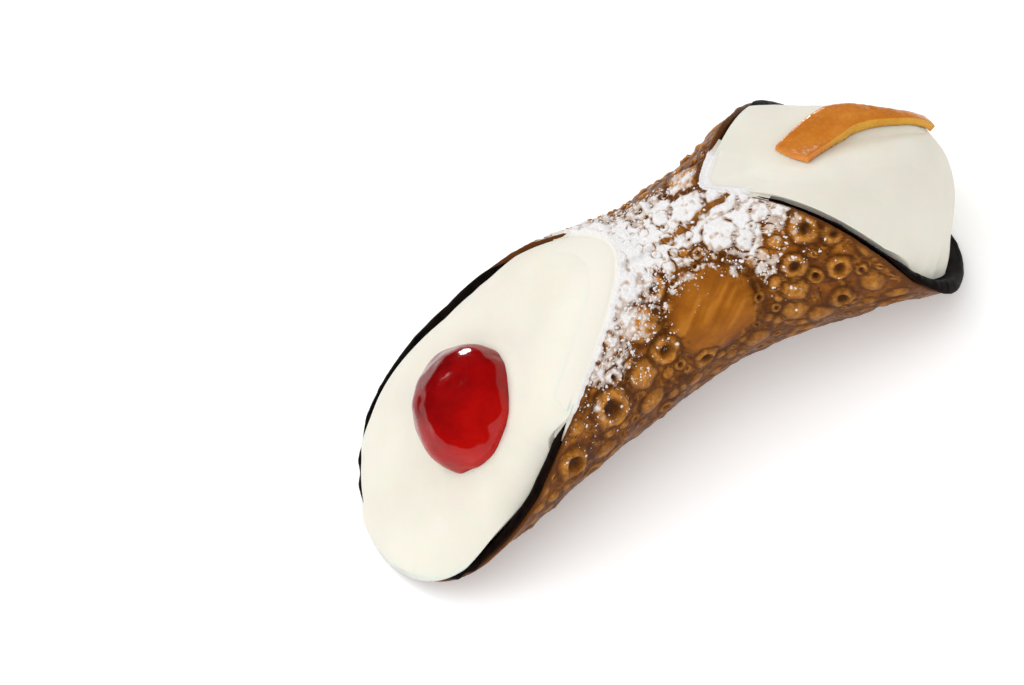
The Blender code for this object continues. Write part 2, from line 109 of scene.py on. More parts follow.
# Places where the lining bulges out past the crust: angle and spread in degrees, how far
LINING_BITS = (((-150.0, 3.5, 0.0011), (-160.0, 3.0, 0.0009), (123.0, 3.5, 0.0007), (131.0, 3.0, 0.0008)),
               ((30.0, 3.0, 0.0005), (55.0, 3.0, 0.0006), (118.0, 14.0, 0.0006)))

# Frying blisters: x, angle from the top in degrees, radius, height, and whether the crown is broken
BIG_BUBBLE = (0.0015, 62.0, 0.0095, 0.0017)
BLISTERS = (
    (0.0247, 46.5, 0.0034, 0.0009, 1), (0.0291, 55.0, 0.0024, 0.0006, 1), (0.0274, 71.0, 0.0028, 0.0008, 1),
    (0.0256, 88.0, 0.0028, 0.0008, 1), (0.0320, 84.0, 0.0026, 0.0007, 0), (0.0358, 96.0, 0.0024, 0.0006, 0),
    (0.0340, 66.0, 0.0026, 0.0006, 0), (0.0197, 61.5, 0.0030, 0.0007, 1), (0.0181, 74.0, 0.0028, 0.0007, 0),
    (0.0163, 87.0, 0.0028, 0.0007, 0), (-0.0030, 88.0, 0.0026, 0.0007, 1), (-0.0096, 66.5, 0.0034, 0.0010, 1),
    (-0.0157, 71.0, 0.0032, 0.0009, 0), (-0.0240, 75.0, 0.0045, 0.0013, 1),
    (-0.0162, 91.0, 0.0032, 0.0008, 0), (0.0206, 97.0, 0.0028, 0.0007, 0), (0.0080, 98.0, 0.0028, 0.0007, 0),
)
# The CAD's scatter of others: tries, reach along x, radius, distance and height in radii, and the
# height from which one is broken
BLISTER_COUNT = 120
BLISTER_SEED = 11
BLISTER_TRIES = 9000
BLISTER_X = (-0.060, 0.046)
BLISTER_RADIUS = (0.0026, 0.0044)
BLISTER_APART = 0.85
BLISTER_TALL = (0.20, 0.30)
BROKEN_OVER = 0.25
# The small ones; radius: the least, what is added at most, and the power of the draw
SMALL_BLISTERS = 1100
SMALL_SEED = 5
SMALL_TRIES = 26000
SMALL_X = (-0.072, 0.049)
SMALL_RADIUS = (0.00085, 0.0012, 1.6)
SMALL_APART = 0.86
SMALL_TALL = (0.26, 0.42)
SMALL_BROKEN = 0.38
# How much lower blisters are: share and degrees of fade under the sugar; share, start and degrees of
# fade along the underside
LOWER_DUSTED = (0.55, 10.0)
LOWER_UNDER = (0.72, 86.0, 26.0)
# A broken one's lip (place and width), hole and the dark line round every blister, which is painted shade in
# the crease at its foot, in radii
BROKEN_LIP = (0.60, 0.20)
BROKEN_HOLE = 0.36
BLISTER_LINE = 0.14
# Round the big bubble: amount, place and width in radii; its dark line and band are painted shade
BUBBLE_CREASE = (0.28 * MM, 0.93, 0.05)
BUBBLE_LINE = (0.8, 1.04, 0.05)
BUBBLE_BAND = (0.7, 1.16, 0.10)
# Streaks on it: direction along and round the tube, how drawn out, and height
STREAK_LINE = (0.56, 0.83)
STREAK_DRAWN = 0.18
STREAK_HEIGHT = 0.07 * MM
# Slow unevenness as in the CAD, and how the relief calms at a rim: least, rest, share of u
CRUST_WARP = 0.0003
RIM_CALM = (0.35, 0.65, 0.12)

# Toppings, as in the CAD
CHERRY_ALONG = 0.0128
CHERRY_ACROSS = 0.0112
CHERRY_HIGH = 0.0108
CHERRY_TURN = math.radians(35.0)
CHERRY_SPOT = (0.16, 81.0)
CHERRY_LIFT = 0.0006
# Direction of the side where painted light makes it paler, and its mesh
CHERRY_PAINTED_LIGHT_SIDE = np.array([0.41055, -0.73051, -0.54571])
CHERRY_MESH = (120, 200)
# The cream raised round it: height, distance and width
CHERRY_COLLAR = (0.5 * MM, 12.3 * MM, 1.6 * MM)
PEEL_LIFT = 0.0004
PEEL_LINE = ((0.715, -3.0, 0.0038, 0.0013), (0.635, -19.0, 0.0040, 0.0020), (0.56, -33.0, 0.0041, 0.0024),
             (0.46, -39.0, 0.0032, 0.0024), (0.35, -42.0, 0.0020, 0.0020), (0.20, -48.0, 0.0013, 0.0016),
             (0.17, -140.0, 0.0012, 0.0014))
PEEL_STATIONS = 90
PEEL_LANES = 9

# Icing sugar: x and the angle in degrees down to which it lies thick on the viewer's side
SUGAR_EDGE = ((-0.060, 44.0), (-0.040, 56.0), (-0.024, 59.0), (-0.018, 54.0), (-0.011, 45.0),
              (-0.002, 34.0), (0.002, 33.0), (0.008, 38.0), (0.011, 43.0), (0.014, 54.0),
              (0.018, 48.0), (0.024, 40.0), (0.040, 28.0))
SUGAR_BACK = ((-0.060, 64.0), (-0.016, 54.0), (-0.010, 39.0), (-0.005, 28.0), (0.006, 21.0),
              (0.012, 17.0), (0.020, 14.0), (0.040, 10.0))
SUGAR_THICK = 0.00030
# Value for the rims and the inside, where no sugar shows
BARE_INSIDE = -3.0
# Angles between which it lies over the rims onto the cream, at the near and at the far mouth
SUGAR_OVER = ((-44.0, 72.0), (-34.0, 24.0))
# How high it stands where it laps over, where on the cream it starts and ends, and in how many rows
LAP_HIGH = 0.26 * MM
LAP_ON_CREAM = (0.985, 0.76)
LAP_ROWS = 28
# Loose grains: places tried, and share of them kept where they are likeliest
GRAIN_SEED = 17
GRAIN_TRIES = 60000
GRAIN_SHARE = 0.10

# Camera: where it looks from round the waist, and the picture's scale there
CAMERA_AZIMUTH = math.radians(-6.0)
CAMERA_ELEVATION = math.radians(51.4)
CAMERA_ROLL = math.radians(-24.14)
CAMERA_DISTANCE = 1.7
CAMERA_SCALE = 5161.6
CAMERA_OFFSET = (0.032255, 0.010921)
PICTURE_WIDTH = 1024

# Studio.  Lights: name, direction, distance, size, power, and whether it shows only as a reflection
LIGHTS = (("front", (-0.28, -0.50, 1.0), 1.2, 1.9, 9.6, False),
          ("key", (-0.25, 0.60, 1.0), 0.9, 0.40, 1.0, False),
          ("soft", (-0.60, 0.35, 1.0), 1.2, 0.9, 2.0, False),
          ("glint", (-0.25, 0.60, 1.0), 0.9, 0.12, 2.6, True),
          ("back_glint", (0.31, 0.92, 0.26), 0.9, 0.14, 3.0, True))
LIGHT_AIM = Vector((0.0, 0.0, 0.02))
WORLD_STRENGTH = 0.62
FLOOR_SIZE = 6.0
FLOOR_GLOW = 0.24

# Mesh steps
CRUST_RINGS = (172, 112)
CRUST_COLUMNS = 332
CORE_RINGS = (8, 5)
CORE_COLUMNS = 166
CAP_COLUMNS = 240
CAP_RINGS = 64
SUGAR_RINGS = (150, 110)
SUGAR_SPAN = (math.radians(-78.0), math.radians(86.0))
SUGAR_COLUMNS = 330
SUGAR_REACH = 0.997


def hashed(ix, iy, iz, seed):
    """Repeatable random number from 0 to 1 for each lattice point."""
    h = (ix * 73856093) ^ (iy * 19349663) ^ (iz * 83492791) ^ (seed * 40503 + 977)
    h &= 0xFFFFFFFF
    h = ((h ^ (h >> 15)) * 2246822519) & 0xFFFFFFFF
    h = ((h ^ (h >> 13)) * 3266489917) & 0xFFFFFFFF
    return ((h ^ (h >> 16)) & 0xFFFFF) / float(0xFFFFF)


def noise(points, size, seed):
    """Smooth noise from -1 to 1 with features of about size."""
    p = np.asarray(points) / size
    cell = np.floor(p).astype(np.int64)
    f = p - cell
    f = f * f * f * (f * (f * 6.0 - 15.0) + 10.0)
    total = 0.0
    for dx in (0, 1):
        for dy in (0, 1):
            for dz in (0, 1):
                weight = ((f[..., 0] if dx else 1.0 - f[..., 0]) * (f[..., 1] if dy else 1.0 - f[..., 1])
                          * (f[..., 2] if dz else 1.0 - f[..., 2]))
                total = total + weight * hashed(cell[..., 0] + dx, cell[..., 1] + dy, cell[..., 2] + dz, seed)
    return 2.0 * total - 1.0


def layered_noise(points, size, seed, octaves=3):
    """Noise with finer and weaker layers of itself on it."""
    total = 0.0
    share = 1.0
    for k in range(octaves):
        total = total + share * noise(points, size, seed + 31 * k)
        size *= 0.5
        share *= 0.55
    return total


def eased(share):
    share = np.clip(share, 0.0, 1.0)
    return share * share * (3.0 - 2.0 * share)


def bell(distance, width, power=2):
    """1 in the middle, falling off smoothly on both sides."""
    return np.exp(-(distance / width) ** power)


def band(distance, shape):
    """Bell of a given amount, place and width."""
    amount, place, width = shape
    return amount * bell(distance - place, width)


def table_at(table, place):
    """Value of a table of places and values at a place between them."""
    rows = np.array(table)
    return np.interp(place, rows[:, 0], rows[:, 1])


def turn_between(a, b):
    return (a - b + math.pi) % TAU - math.pi


def from_top(angle):
    """Angle from the top in degrees, from -180 to 180."""
    return np.degrees(turn_between(angle, 0.0))


def flare(x, lip, bend):
    """How far the tube has widened at x: 0 at the waist, 1 at the lip."""
    return (np.sqrt(1.0 + (x / bend) ** 2) - 1.0) / (math.sqrt(1.0 + (lip / bend) ** 2) - 1.0)


def section(x):
    """Centre height, half width and upper half height of the tube at x."""
    near = x < 0.0
    q = np.where(near, flare(x, NEAR_LIP_REACH, NEAR_BEND), flare(x, FAR_LIP_REACH, FAR_BEND))
    centre = LENGTH_TILT * x - np.where(near, 0.0, FAR_DROOP) * q
    width = WAIST_RADIUS + np.where(near, NEAR_WIDEN, FAR_WIDEN) * q
    top = WAIST_RADIUS + np.where(near, NEAR_RISE, FAR_RISE) * q
    return centre, width, top


def mouth(angle, turn, power, corner):
    """How far round a mouth an angle lies: 0 at its top, 1 at its lip."""
    s = np.abs(np.sin((angle - turn) / 2.0))
    s = (np.sqrt(s * s + corner ** 2) - corner) / (math.sqrt(1.0 + corner ** 2) - corner)
    return s ** (2.0 * power)


def sway(x):
    """Sideways shift of the far end of the tube."""
    return np.where(x > 0.0, FAR_SWAY * flare(x, FAR_LIP_REACH, FAR_BEND), 0.0)


def smooth_tube(u, angle):
    """Point of the tube's outer face: u is -1 at the near mouth, 1 at the far one."""
    near = mouth(angle, NEAR_MOUTH_TURN, NEAR_MOUTH_POWER, 0.0)
    near = -(NEAR_TOP_REACH + (NEAR_LIP_REACH - NEAR_TOP_REACH) * near)
    far = mouth(angle, FAR_MOUTH_TURN, FAR_MOUTH_POWER, FAR_MOUTH_CORNER)
    far = FAR_TOP_REACH + (FAR_LIP_REACH - FAR_TOP_REACH) * far
    where, spread, swell = FAR_LIP_SWELL
    far = far + swell * bell(turn_between(angle, where), spread)
    x = np.where(u < 0.0, -u * near, u * far)
    centre, width, top = section(x)
    half = np.where(np.cos(angle) > 0.0, top, WAIST_RADIUS)
    return np.stack([x, sway(x) - width * np.sin(angle), centre + half * np.cos(angle)], axis=-1)


def frame_at(u, angle):
    """Outward normal of the smooth tube, and the direction that leads out of the nearer mouth."""
    step = 1e-4
    along = smooth_tube(u + step, angle) - smooth_tube(u - step, angle)
    around = smooth_tube(u, angle + step) - smooth_tube(u, angle - step)
    normal = np.cross(along, around)
    normal /= np.linalg.norm(normal, axis=-1, keepdims=True)
    point = smooth_tube(u, angle)
    middle = section(point[..., 0])[0]
    inward = np.stack([np.zeros_like(middle), -point[..., 1], middle - point[..., 2]], axis=-1)
    normal *= -np.sign((normal * inward).sum(axis=-1, keepdims=True))
    out = np.cross(normal, around)
    out /= np.linalg.norm(out, axis=-1, keepdims=True)
    out *= np.sign((out * along).sum(axis=-1, keepdims=True)) * np.sign(u)[..., None]
    return normal, out


def wall(u, thick, rim_thick):
    """Wall thickness, which gets thinner toward the rims."""
    start, length = WALL_TAPER
    t = np.clip((np.abs(u) - start) / length, 0.0, 1.0)
    return thick + (rim_thick - thick) * t * t * (3.0 - 2.0 * t)


def shell_wall(u):
    return float(wall(u, SHELL_WALL, SHELL_RIM_WALL))


def seam_angle(x):
    """Angle of the flap's edge at x."""
    return np.radians(table_at(SEAM_LINE, x))


def from_seam(angle, x):
    """Distance from the flap's edge round the tube."""
    return np.abs(turn_between(angle, seam_angle(x))) * WAIST_RADIUS


def ring(u, angles, depth, reach=0.0):
    """Closed ring of points at one u, sunk below the smooth tube and pushed out of the mouth."""
    us = np.zeros_like(angles) + u
    normal, out = frame_at(us, angles)
    points = smooth_tube(us, angles) - depth * normal + reach * out
    points[:, 2] = np.maximum(points[:, 2], FLOOR_LEVEL + LINING_CLEAR)
    return points


def cad_blisters():
    """The blisters of the CAD's crust, with the same seeded draws."""
    rng = random.Random(BLISTER_SEED)
    spots = [(x, math.radians(a), r, h, kind) for x, a, r, h, kind in BLISTERS]
    bx, ba, br, bh = BIG_BUBBLE
    for _ in range(BLISTER_TRIES):
        if len(spots) >= BLISTER_COUNT:
            break
        x = rng.uniform(*BLISTER_X)
        angle = rng.uniform(-math.pi, math.pi)
        radius = rng.uniform(*BLISTER_RADIUS)
        around = float(section(np.array(x))[1])
        others = spots + [(bx, math.radians(ba), br, bh, 0)]
        clear = all(math.hypot(x - s[0], around * turn_between(angle, s[1])) > BLISTER_APART * (radius + s[2])
                    for s in others)
        if clear:
            height = radius * rng.uniform(*BLISTER_TALL)
            spots.append((x, angle, radius, height, int(height > BROKEN_OVER * radius)))
    return spots


def all_blisters():
    """The CAD's blisters and a dense seeded scatter of small ones between them."""
    spots = cad_blisters()
    rng = np.random.default_rng(SMALL_SEED)
    bx, ba, br, _ = BIG_BUBBLE
    least, more, power = SMALL_RADIUS
    taken = np.array([(x, a, r) for x, a, r, _, _ in spots] + [(bx, math.radians(ba), br)])
    wanted = len(spots) + SMALL_BLISTERS
    for _ in range(SMALL_TRIES):
        if len(spots) >= wanted:
            break
        x = rng.uniform(*SMALL_X)
        angle = rng.uniform(-math.pi, math.pi)
        radius = least + more * rng.random() ** power
        around = float(section(np.array(x))[1])
        apart = np.hypot(taken[:, 0] - x, around * turn_between(taken[:, 1], angle))
        if np.all(apart > SMALL_APART * (taken[:, 2] + radius)):
            taken = np.vstack([taken, (x, angle, radius)])
            tall = radius * rng.uniform(*SMALL_TALL)
            spots.append((x, angle, radius, tall, int(rng.random() < SMALL_BROKEN)))
    return spots


def sugar_bounds(x):
    """Angles in degrees between which the sugar lies at x: on the back and on the viewer's side."""
    return -table_at(SUGAR_BACK, x), table_at(SUGAR_EDGE, x)


def flattened(x, angle):
    """Share by which blisters are lower: under the sugar and along the underside."""
    low, high = sugar_bounds(x)
    a = from_top(angle)
    dusted_share, fade = LOWER_DUSTED
    under_share, start, under_fade = LOWER_UNDER
    dusted = eased((high - a) / fade) * eased((a - low) / fade)
    return np.maximum(dusted_share * dusted, under_share * eased((np.abs(a) - start) / under_fade))


def crust_fields(u, angle, x, base, spots):
    """Height of the fried crust over the smooth tube, and what shows where on it."""
    around = section(x)[1]
    height, crown, edge, pit = (np.zeros_like(x) for _ in range(4))
    wobble = 1.0 + 0.16 * noise(base, 1.6 * MM, 7) + 0.10 * noise(base, 0.7 * MM, 8)
    for sx, sa, radius, tall, broken in spots:
        near = np.abs(x - sx) < 1.5 * radius
        if not near.any():
            continue
        dx = x[near] - sx
        dy = around[near] * turn_between(angle[near], sa)
        d = np.sqrt(dx * dx + dy * dy) / radius * wobble[near]
        dome = np.clip(1.0 - d * d, 0.0, 1.0)
        if broken:
            lip = bell(d - BROKEN_LIP[0], BROKEN_LIP[1])
            hole = bell(d, BROKEN_HOLE, 4)
            height[near] += tall * (0.85 * lip + 0.15 * dome - 0.55 * hole)
            # Painted shade: the hole is marked dark for the colour.
            pit[near] = np.maximum(pit[near], hole)
            crown[near] = np.maximum(crown[near], lip)
        else:
            height[near] += tall * dome ** 1.1
            crown[near] = np.maximum(crown[near], np.clip(1.0 - 0.8 * d * d, 0.0, 1.0))
        # Painted shade: a dark line in the crease at each blister's foot.
        edge[near] = np.maximum(edge[near], bell(d - 1.0, BLISTER_LINE))

    # The big bubble
    bx, ba, radius, tall = BIG_BUBBLE
    dx = x - bx
    dy = around * turn_between(angle, math.radians(ba))
    d = np.sqrt(dx ** 2 + dy ** 2) / radius * (0.8 + 0.2 * wobble)
    bubble = np.clip(1.0 - d * d, 0.0, 1.0)
    height *= 1.0 - flattened(x, angle)
    height += tall * bubble ** 0.8
    right = eased(1.6 * dx / radius)
    height += right * band(d, BUBBLE_CREASE)
    # Painted shade: a dark line round the big bubble and a band on its right.
    edge = np.maximum(edge, band(d, BUBBLE_LINE))
    edge = np.maximum(edge, right * band(d, BUBBLE_BAND))
    ahead, aside = STREAK_LINE
    drawn = np.stack([ahead * dx + aside * dy, STREAK_DRAWN * (aside * dx - ahead * dy), 0.0 * dx], -1)
    streak = noise(drawn, 0.9 * MM, 25) * eased(2.0 * bubble)
    height += STREAK_HEIGHT * streak

    # The crust's own unevenness, and the flap
    height += CRUST_WARP * np.sin(x * 310.0 + 2.0 * np.sin(angle * 3.0)) * np.sin(angle * 5.0 + x * 120.0)
    height += 0.16 * MM * layered_noise(base, 3.0 * MM, 21) * (1.0 - eased(2.0 * bubble))
    height += 0.05 * MM * layered_noise(base, 0.9 * MM, 22, 2)
    least, more, share = RIM_CALM
    height *= least + more * np.clip((1.0 - np.abs(u)) / share, 0.0, 1.0)
    behind = (seam_angle(x) - angle) % TAU
    height += SEAM_STEP * np.clip(1.0 - behind / SEAM_FADE, 0.0, 1.0)
    height += SEAM_LIP[0] * bell(behind * WAIST_RADIUS, SEAM_LIP[1])
    return height, {"crown": crown, "edge": edge, "pit": pit, "bubble": eased(1.6 * bubble),
                    "seam": bell(from_seam(angle, x), SEAM_MARK), "streak": 0.5 + 0.5 * streak}


def crust_surface(u, angle, spots):
    """Points of the crust's outer face, its normals and what shows there, for arrays of u and angle."""
    start = smooth_tube(u, angle)
    pull = bell(turn_between(angle, SEAM_ANGLE), SEAM_PULL)
    ragged = SEAM_RAGGED * noise(np.stack([start[..., 0], 0 * angle, 0 * angle], -1), 1.3 * MM, 3)
    moved = angle + (seam_angle(start[..., 0]) - SEAM_ANGLE + ragged * pull) * pull
    normal, _ = frame_at(u, moved)
    base = smooth_tube(u, moved)
    height, fields = crust_fields(u, moved - ragged * pull * pull, base[..., 0], base, spots)
    points = base + height[..., None] * normal
    points[..., 2] = np.maximum(points[..., 2], FLOOR_LEVEL)
    return points, normal, base, moved, fields


def steps(near, far):
    """Values of u from the near mouth at -1 to the far one at 1."""
    return np.concatenate([-np.linspace(1.0, 0.0, near, endpoint=False), np.linspace(0.0, 1.0, far + 1)])


def around_columns(count):
    """Angles round the tube that start and end close to the flap's edge, one on each side of it."""
    aside = math.radians(0.25)
    angles = SEAM_ANGLE + np.arange(count) * TAU / count
    angles[0] += aside
    angles[-1] = SEAM_ANGLE - aside
    return angles


def new_piece(name, points, faces, node=None, attributes=None):
    """Smooth mesh piece in the frame, standing for a CAD node if one is named."""
    mesh = bpy.data.meshes.new(name)
    points = np.asarray(points, dtype=np.float64) + SHIFT
    faces = np.asarray(faces, dtype=np.int32)
    mesh.vertices.add(len(points))
    mesh.vertices.foreach_set("co", points.ravel())
    mesh.loops.add(faces.size)
    mesh.loops.foreach_set("vertex_index", faces.ravel())
    mesh.polygons.add(len(faces))
    mesh.polygons.foreach_set("loop_start", np.arange(len(faces), dtype=np.int32) * faces.shape[1])
    mesh.polygons.foreach_set("use_smooth", np.ones(len(faces), dtype=bool))
    mesh.update(calc_edges=True)
    for key, values in (attributes or {}).items():
        layer = mesh.attributes.new(key, "FLOAT", "POINT")
        layer.data.foreach_set("value", np.asarray(values, dtype=np.float32).ravel())
    piece = bpy.data.objects.new(name, mesh)
    bpy.context.scene.collection.objects.link(piece)
    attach(piece, "root")
    if node:
        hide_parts(node)
    return piece


def grid_quads(rows, columns, closed=True, looped=False):
    """Quads of a grid; closed joins the last column to the first, looped the last row to the first."""
    index = np.arange(rows * columns).reshape(rows, columns)
    if looped:
        index = np.vstack([index, index[:1]])
    right = np.roll(index, -1, axis=1)
    quads = np.stack([index[:-1], right[:-1], right[1:], index[1:]], axis=-1)
    if not closed:
        quads = quads[:, :-1]
    return quads.reshape(-1, 4)


def facing_out(piece, rings=0, columns=0, smooth=True):
    """Turns a piece's faces outward; with its number of rings, it closes the first and the last."""
    work = bmesh.new()
    work.from_mesh(piece.data)
    work.verts.ensure_lookup_table()
    for row in (0, rings - 1) if rings else ():
        bmesh.ops.contextual_create(work, geom=[work.verts[row * columns + j] for j in range(columns)])
    for face in work.faces:
        face.smooth = face.smooth or smooth
    bmesh.ops.recalc_face_normals(work, faces=work.faces)
    if work.calc_volume(signed=True) < 0.0:
        bmesh.ops.reverse_faces(work, faces=work.faces)
    work.to_mesh(piece.data)
    work.free()
    return piece


def rim_circle(angles, level):
    """Places for the noise round a rim."""
    radius = 25.0 * MM
    return np.stack([radius * np.cos(angles), radius * np.sin(angles), np.full_like(angles, level)], axis=-1)


def overhang(end, angles):
    """Share by which the cream hangs over the edge of a mouth."""
    return table_at(FAR_OVERHANG if end > 0.0 else NEAR_OVERHANG, from_top(angles))


def lining_lumps(end, angles):
    """Extra thickness of the lining's edge, uneven like set chocolate."""
    lumps = np.sin(5.0 * angles + 0.8) * np.sin(3.0 * angles + 2.1)
    return LINING_LUMP * np.clip(lumps, 0.0, 1.0) * (1.0 - eased(overhang(end, angles) * 5.0))


def far_u(angles):
    """Where the cream's rim lies in the far mouth: at the edge, and set back with ragged fingers low down."""
    back = eased(1.7 - np.abs(turn_between(angles, math.radians(160.0))) / math.radians(42.0))
    place = rim_circle(angles, 0.0)
    fingers = 0.42 * noise(place, 3.1 * MM, 57) + 0.16 * noise(place, 1.3 * MM, 58)
    return 1.0 - FAR_CREAM_INSET * back * (1.0 + fingers)


def cream_depth(u):
    """How deep the cream's side lies under the smooth tube."""
    return wall(u, SHELL_WALL, SHELL_RIM_WALL) + LINING_WALL + 2.0 * LAYER_GAP


def cream_rim(end, angles, sink=0.0):
    """Where the face of the cream starts in a mouth; sink gives its underside over the lining."""
    share = overhang(end, angles)
    raised = CREAM_RAISE * eased(share / 0.3) * (1.0 - 0.4 * eased(2.0 * share - 1.0))
    over = CREAM_OVERHANG * eased((share - 0.25) / 0.75)
    u = far_u(angles) if end > 0.0 else np.full_like(angles, -1.0)
    if sink > 0.0:
        return ring(u, angles, cream_depth(u)[:, None], (raised * (1.0 - sink))[:, None])
    return ring(u, angles, (cream_depth(u) - over)[:, None], raised[:, None])


@functools.cache
def cap_frame(end):
    """Centre and outward direction of a mouth's cream, from its rim."""
    angles = np.arange(180) * TAU / 180
    rim = cream_rim(end, angles)
    ahead = np.roll(rim, -1, axis=0)
    area = np.cross(rim - rim.mean(axis=0), ahead - rim.mean(axis=0))
    weight = np.linalg.norm(area, axis=1, keepdims=True)
    centre = ((rim + ahead) / 3.0 * weight).sum(axis=0) / weight.sum() + rim.mean(axis=0) / 3.0
    normal = area.sum(axis=0)
    normal /= np.linalg.norm(normal)
    if normal[0] * end < 0.0:
        normal = -normal
    return centre, normal


@functools.cache
def calm_rim(end):
    """Even angles, and the rim of the cream there with its small bends smoothed out."""
    even = np.arange(-180, 181) * TAU / 360
    waves = np.fft.rfft(cream_rim(end, even[:-1]), axis=0)
    order = np.arange(len(waves))[:, None]
    calm = np.fft.irfft(waves * bell(order, 7.0), n=360, axis=0)
    return even, np.vstack([calm, calm[:1]])


def soft_rim(end, angles, softness):
    """The rim of the cream with its small bends smoothed out by a share from 0 to 1."""
    even, calm = calm_rim(end)
    turned = turn_between(angles, 0.0)
    soft = np.stack([np.interp(turned, even, calm[:, k]) for k in range(3)], axis=-1)
    return cream_rim(end, angles) * (1.0 - softness) + soft * softness


def cap_point(end, rho, angles):
    """Point of the cream's face in a mouth: rho is 0 at its middle and 1 at the rim."""
    centre, normal = cap_frame(end)
    rho = np.broadcast_to(np.asarray(rho, dtype=float), angles.shape)[..., None]
    rim = soft_rim(end, angles, eased((1.0 - rho) / 0.22))
    if end < 0.0:
        lift = NEAR_CREAM_BULGE * (1.0 - rho ** NEAR_CREAM_FULLNESS)
    else:
        lift = FAR_CREAM_BULGE * (1.0 - rho ** FAR_CREAM_FULLNESS)
        normal = normal + FAR_CREAM_LEAN
    return centre + rho * (rim - centre) + lift * normal


def build_shell(spots):
    """Closed tube of fried dough: the crust outside, two rims and a plain face inside."""
    columns = around_columns(CRUST_COLUMNS)
    us = steps(*CRUST_RINGS)
    u, angle = np.meshgrid(us, columns, indexing="ij")
    points, _, base, moved, fields = crust_surface(u, angle, spots)
    rim = []
    for end, row in ((1.0, -1), (-1.0, 0)):
        outward, out = frame_at(np.full_like(columns, end), columns)
        rough = 0.25 * MM * noise(points[row], 1.5 * MM, 41)[:, None]
        edge = points[row] - 0.4 * SHELL_RIM_WALL * outward + (SHELL_RIM_ROUND + np.abs(rough) * 0.5) * out
        edge[:, 2] = np.maximum(edge[:, 2], FLOOR_LEVEL)
        rim.append(edge)
    core = [ring(c, columns, shell_wall(c)) for c in reversed(steps(*CORE_RINGS))]
    rings = [*points, rim[0], *core, rim[1]]

    # What shows on the crust, each with its value for the rims and the inside
    extra = (len(rings) - len(us)) * CRUST_COLUMNS
    shown = {key: (value, 0.0) for key, value in fields.items()}
    shown["rim"] = (bell(1.0 - np.abs(u), 0.02), 1.0)
    shown["sugared"] = (sugar_cover(moved, base, fields), BARE_INSIDE)
    # Painted shade: darker toward the underside and on the inside.
    shown["low"] = (eased((np.abs(from_top(angle)) - 62.0) / 50.0), 1.0)
    attributes = {key: np.concatenate([value.ravel(), np.full(extra, inside)])
                  for key, (value, inside) in shown.items()}
    faces = grid_quads(len(rings), CRUST_COLUMNS, looped=True)
    return facing_out(new_piece("fried_shell", np.concatenate(rings), faces, "shell",
                                attributes))


def sugar_cover(angle, base, fields):
    """How thickly the sugar lies: above 0 it covers the crust, below it doesn't."""
    x = base[..., 0]
    low, high = sugar_bounds(x)
    a = from_top(angle)
    inside = np.minimum((high - a) / 18.0, (a - low) / 11.0)
    ragged = (0.6 * noise(base, 3.4 * MM, 61) + 0.75 * noise(base, 1.5 * MM, 62)
              + 1.05 * noise(base, 0.7 * MM, 63))
    cover = np.clip(inside, -2.5, 1.35) - 0.15 + ragged * 0.85
    bare = 0.40 + 0.60 * eased((x + 0.012) / 0.014)
    cover = cover - bare * (1.5 * fields["edge"] + 1.4 * fields["pit"])
    cover = cover - 0.9 * eased(fields["bubble"] * 1.2 - 0.1)
    along = np.clip((x + 0.003) / 0.003, 0.0, 1.0) * np.clip((0.021 - x) / 0.004, 0.0, 1.0)
    return cover - 2.6 * bell(from_seam(angle, x), 0.34 * MM) * along


def sugar_lap(end, columns, outer, spots):
    """Rows of the sugar over the rim and onto the cream, their cover, and how far each looks like cream."""
    _, _, _, moved, _ = crust_surface(np.full_like(columns, end), columns, spots)
    normal, out = frame_at(np.full_like(columns, end), moved)
    rim = cream_rim(end, moved)
    face = cap_frame(end)[1]
    first, last = SUGAR_OVER[0 if end < 0.0 else 1]
    start, stop = LAP_ON_CREAM
    a = np.degrees(moved)
    window = np.minimum((last - a) / 12.0, (a - first) / 12.0)
    sunk = (1.0 - eased(window + 0.05))[:, None]
    marks = [outer, outer + 0.35 * MM * out + 0.05 * MM * normal, rim + LAP_HIGH * normal - 0.15 * MM * out,
             rim + LAP_HIGH * out + 0.10 * MM * normal, cap_point(end, start, moved) + LAP_HIGH * face]
    rows = []
    blend = []
    for k in range(len(marks) - 1):
        for t in np.arange(0.0, 1.0, 0.125):
            row = marks[k] * (1.0 - t) + marks[k + 1] * t
            rows.append(row - min(1.0, 0.5 * (k + t)) * sunk * 0.8 * MM * (normal + face))
            blend.append(0.5 * (k + t) / len(marks))
    for rho in np.linspace(start, stop, LAP_ROWS):
        share = (start - rho) / (start - stop)
        lift = LAP_HIGH * (1.0 - share) ** 1.3 - 0.30 * MM * share
        row = cap_point(end, rho, moved)
        detail = (cream_detail(row, end) * (1.0 - rho ** 10))[:, None]
        rows.append(row + (detail + lift - 0.7 * MM * sunk) * face)
        blend.append(0.45 + 0.55 * share)
    rows = np.array(rows)
    blend = np.array(blend)[:, None]
    creamy = eased((blend - (0.05 if end < 0.0 else 0.22)) / 0.34)
    creamy = np.maximum(creamy, 1.0 - eased(1.5 * window - 0.1))
    rough = 0.08 * MM * layered_noise(rows, 1.3 * MM, 76, 3) * (1.0 - 0.8 * creamy)
    rows = rows + rough[..., None] * (0.6 * out + 0.5 * face)
    return rows, np.maximum(np.clip(window + 0.12, -1.0, 1.2), 0.8 * creamy - 1.0), creamy


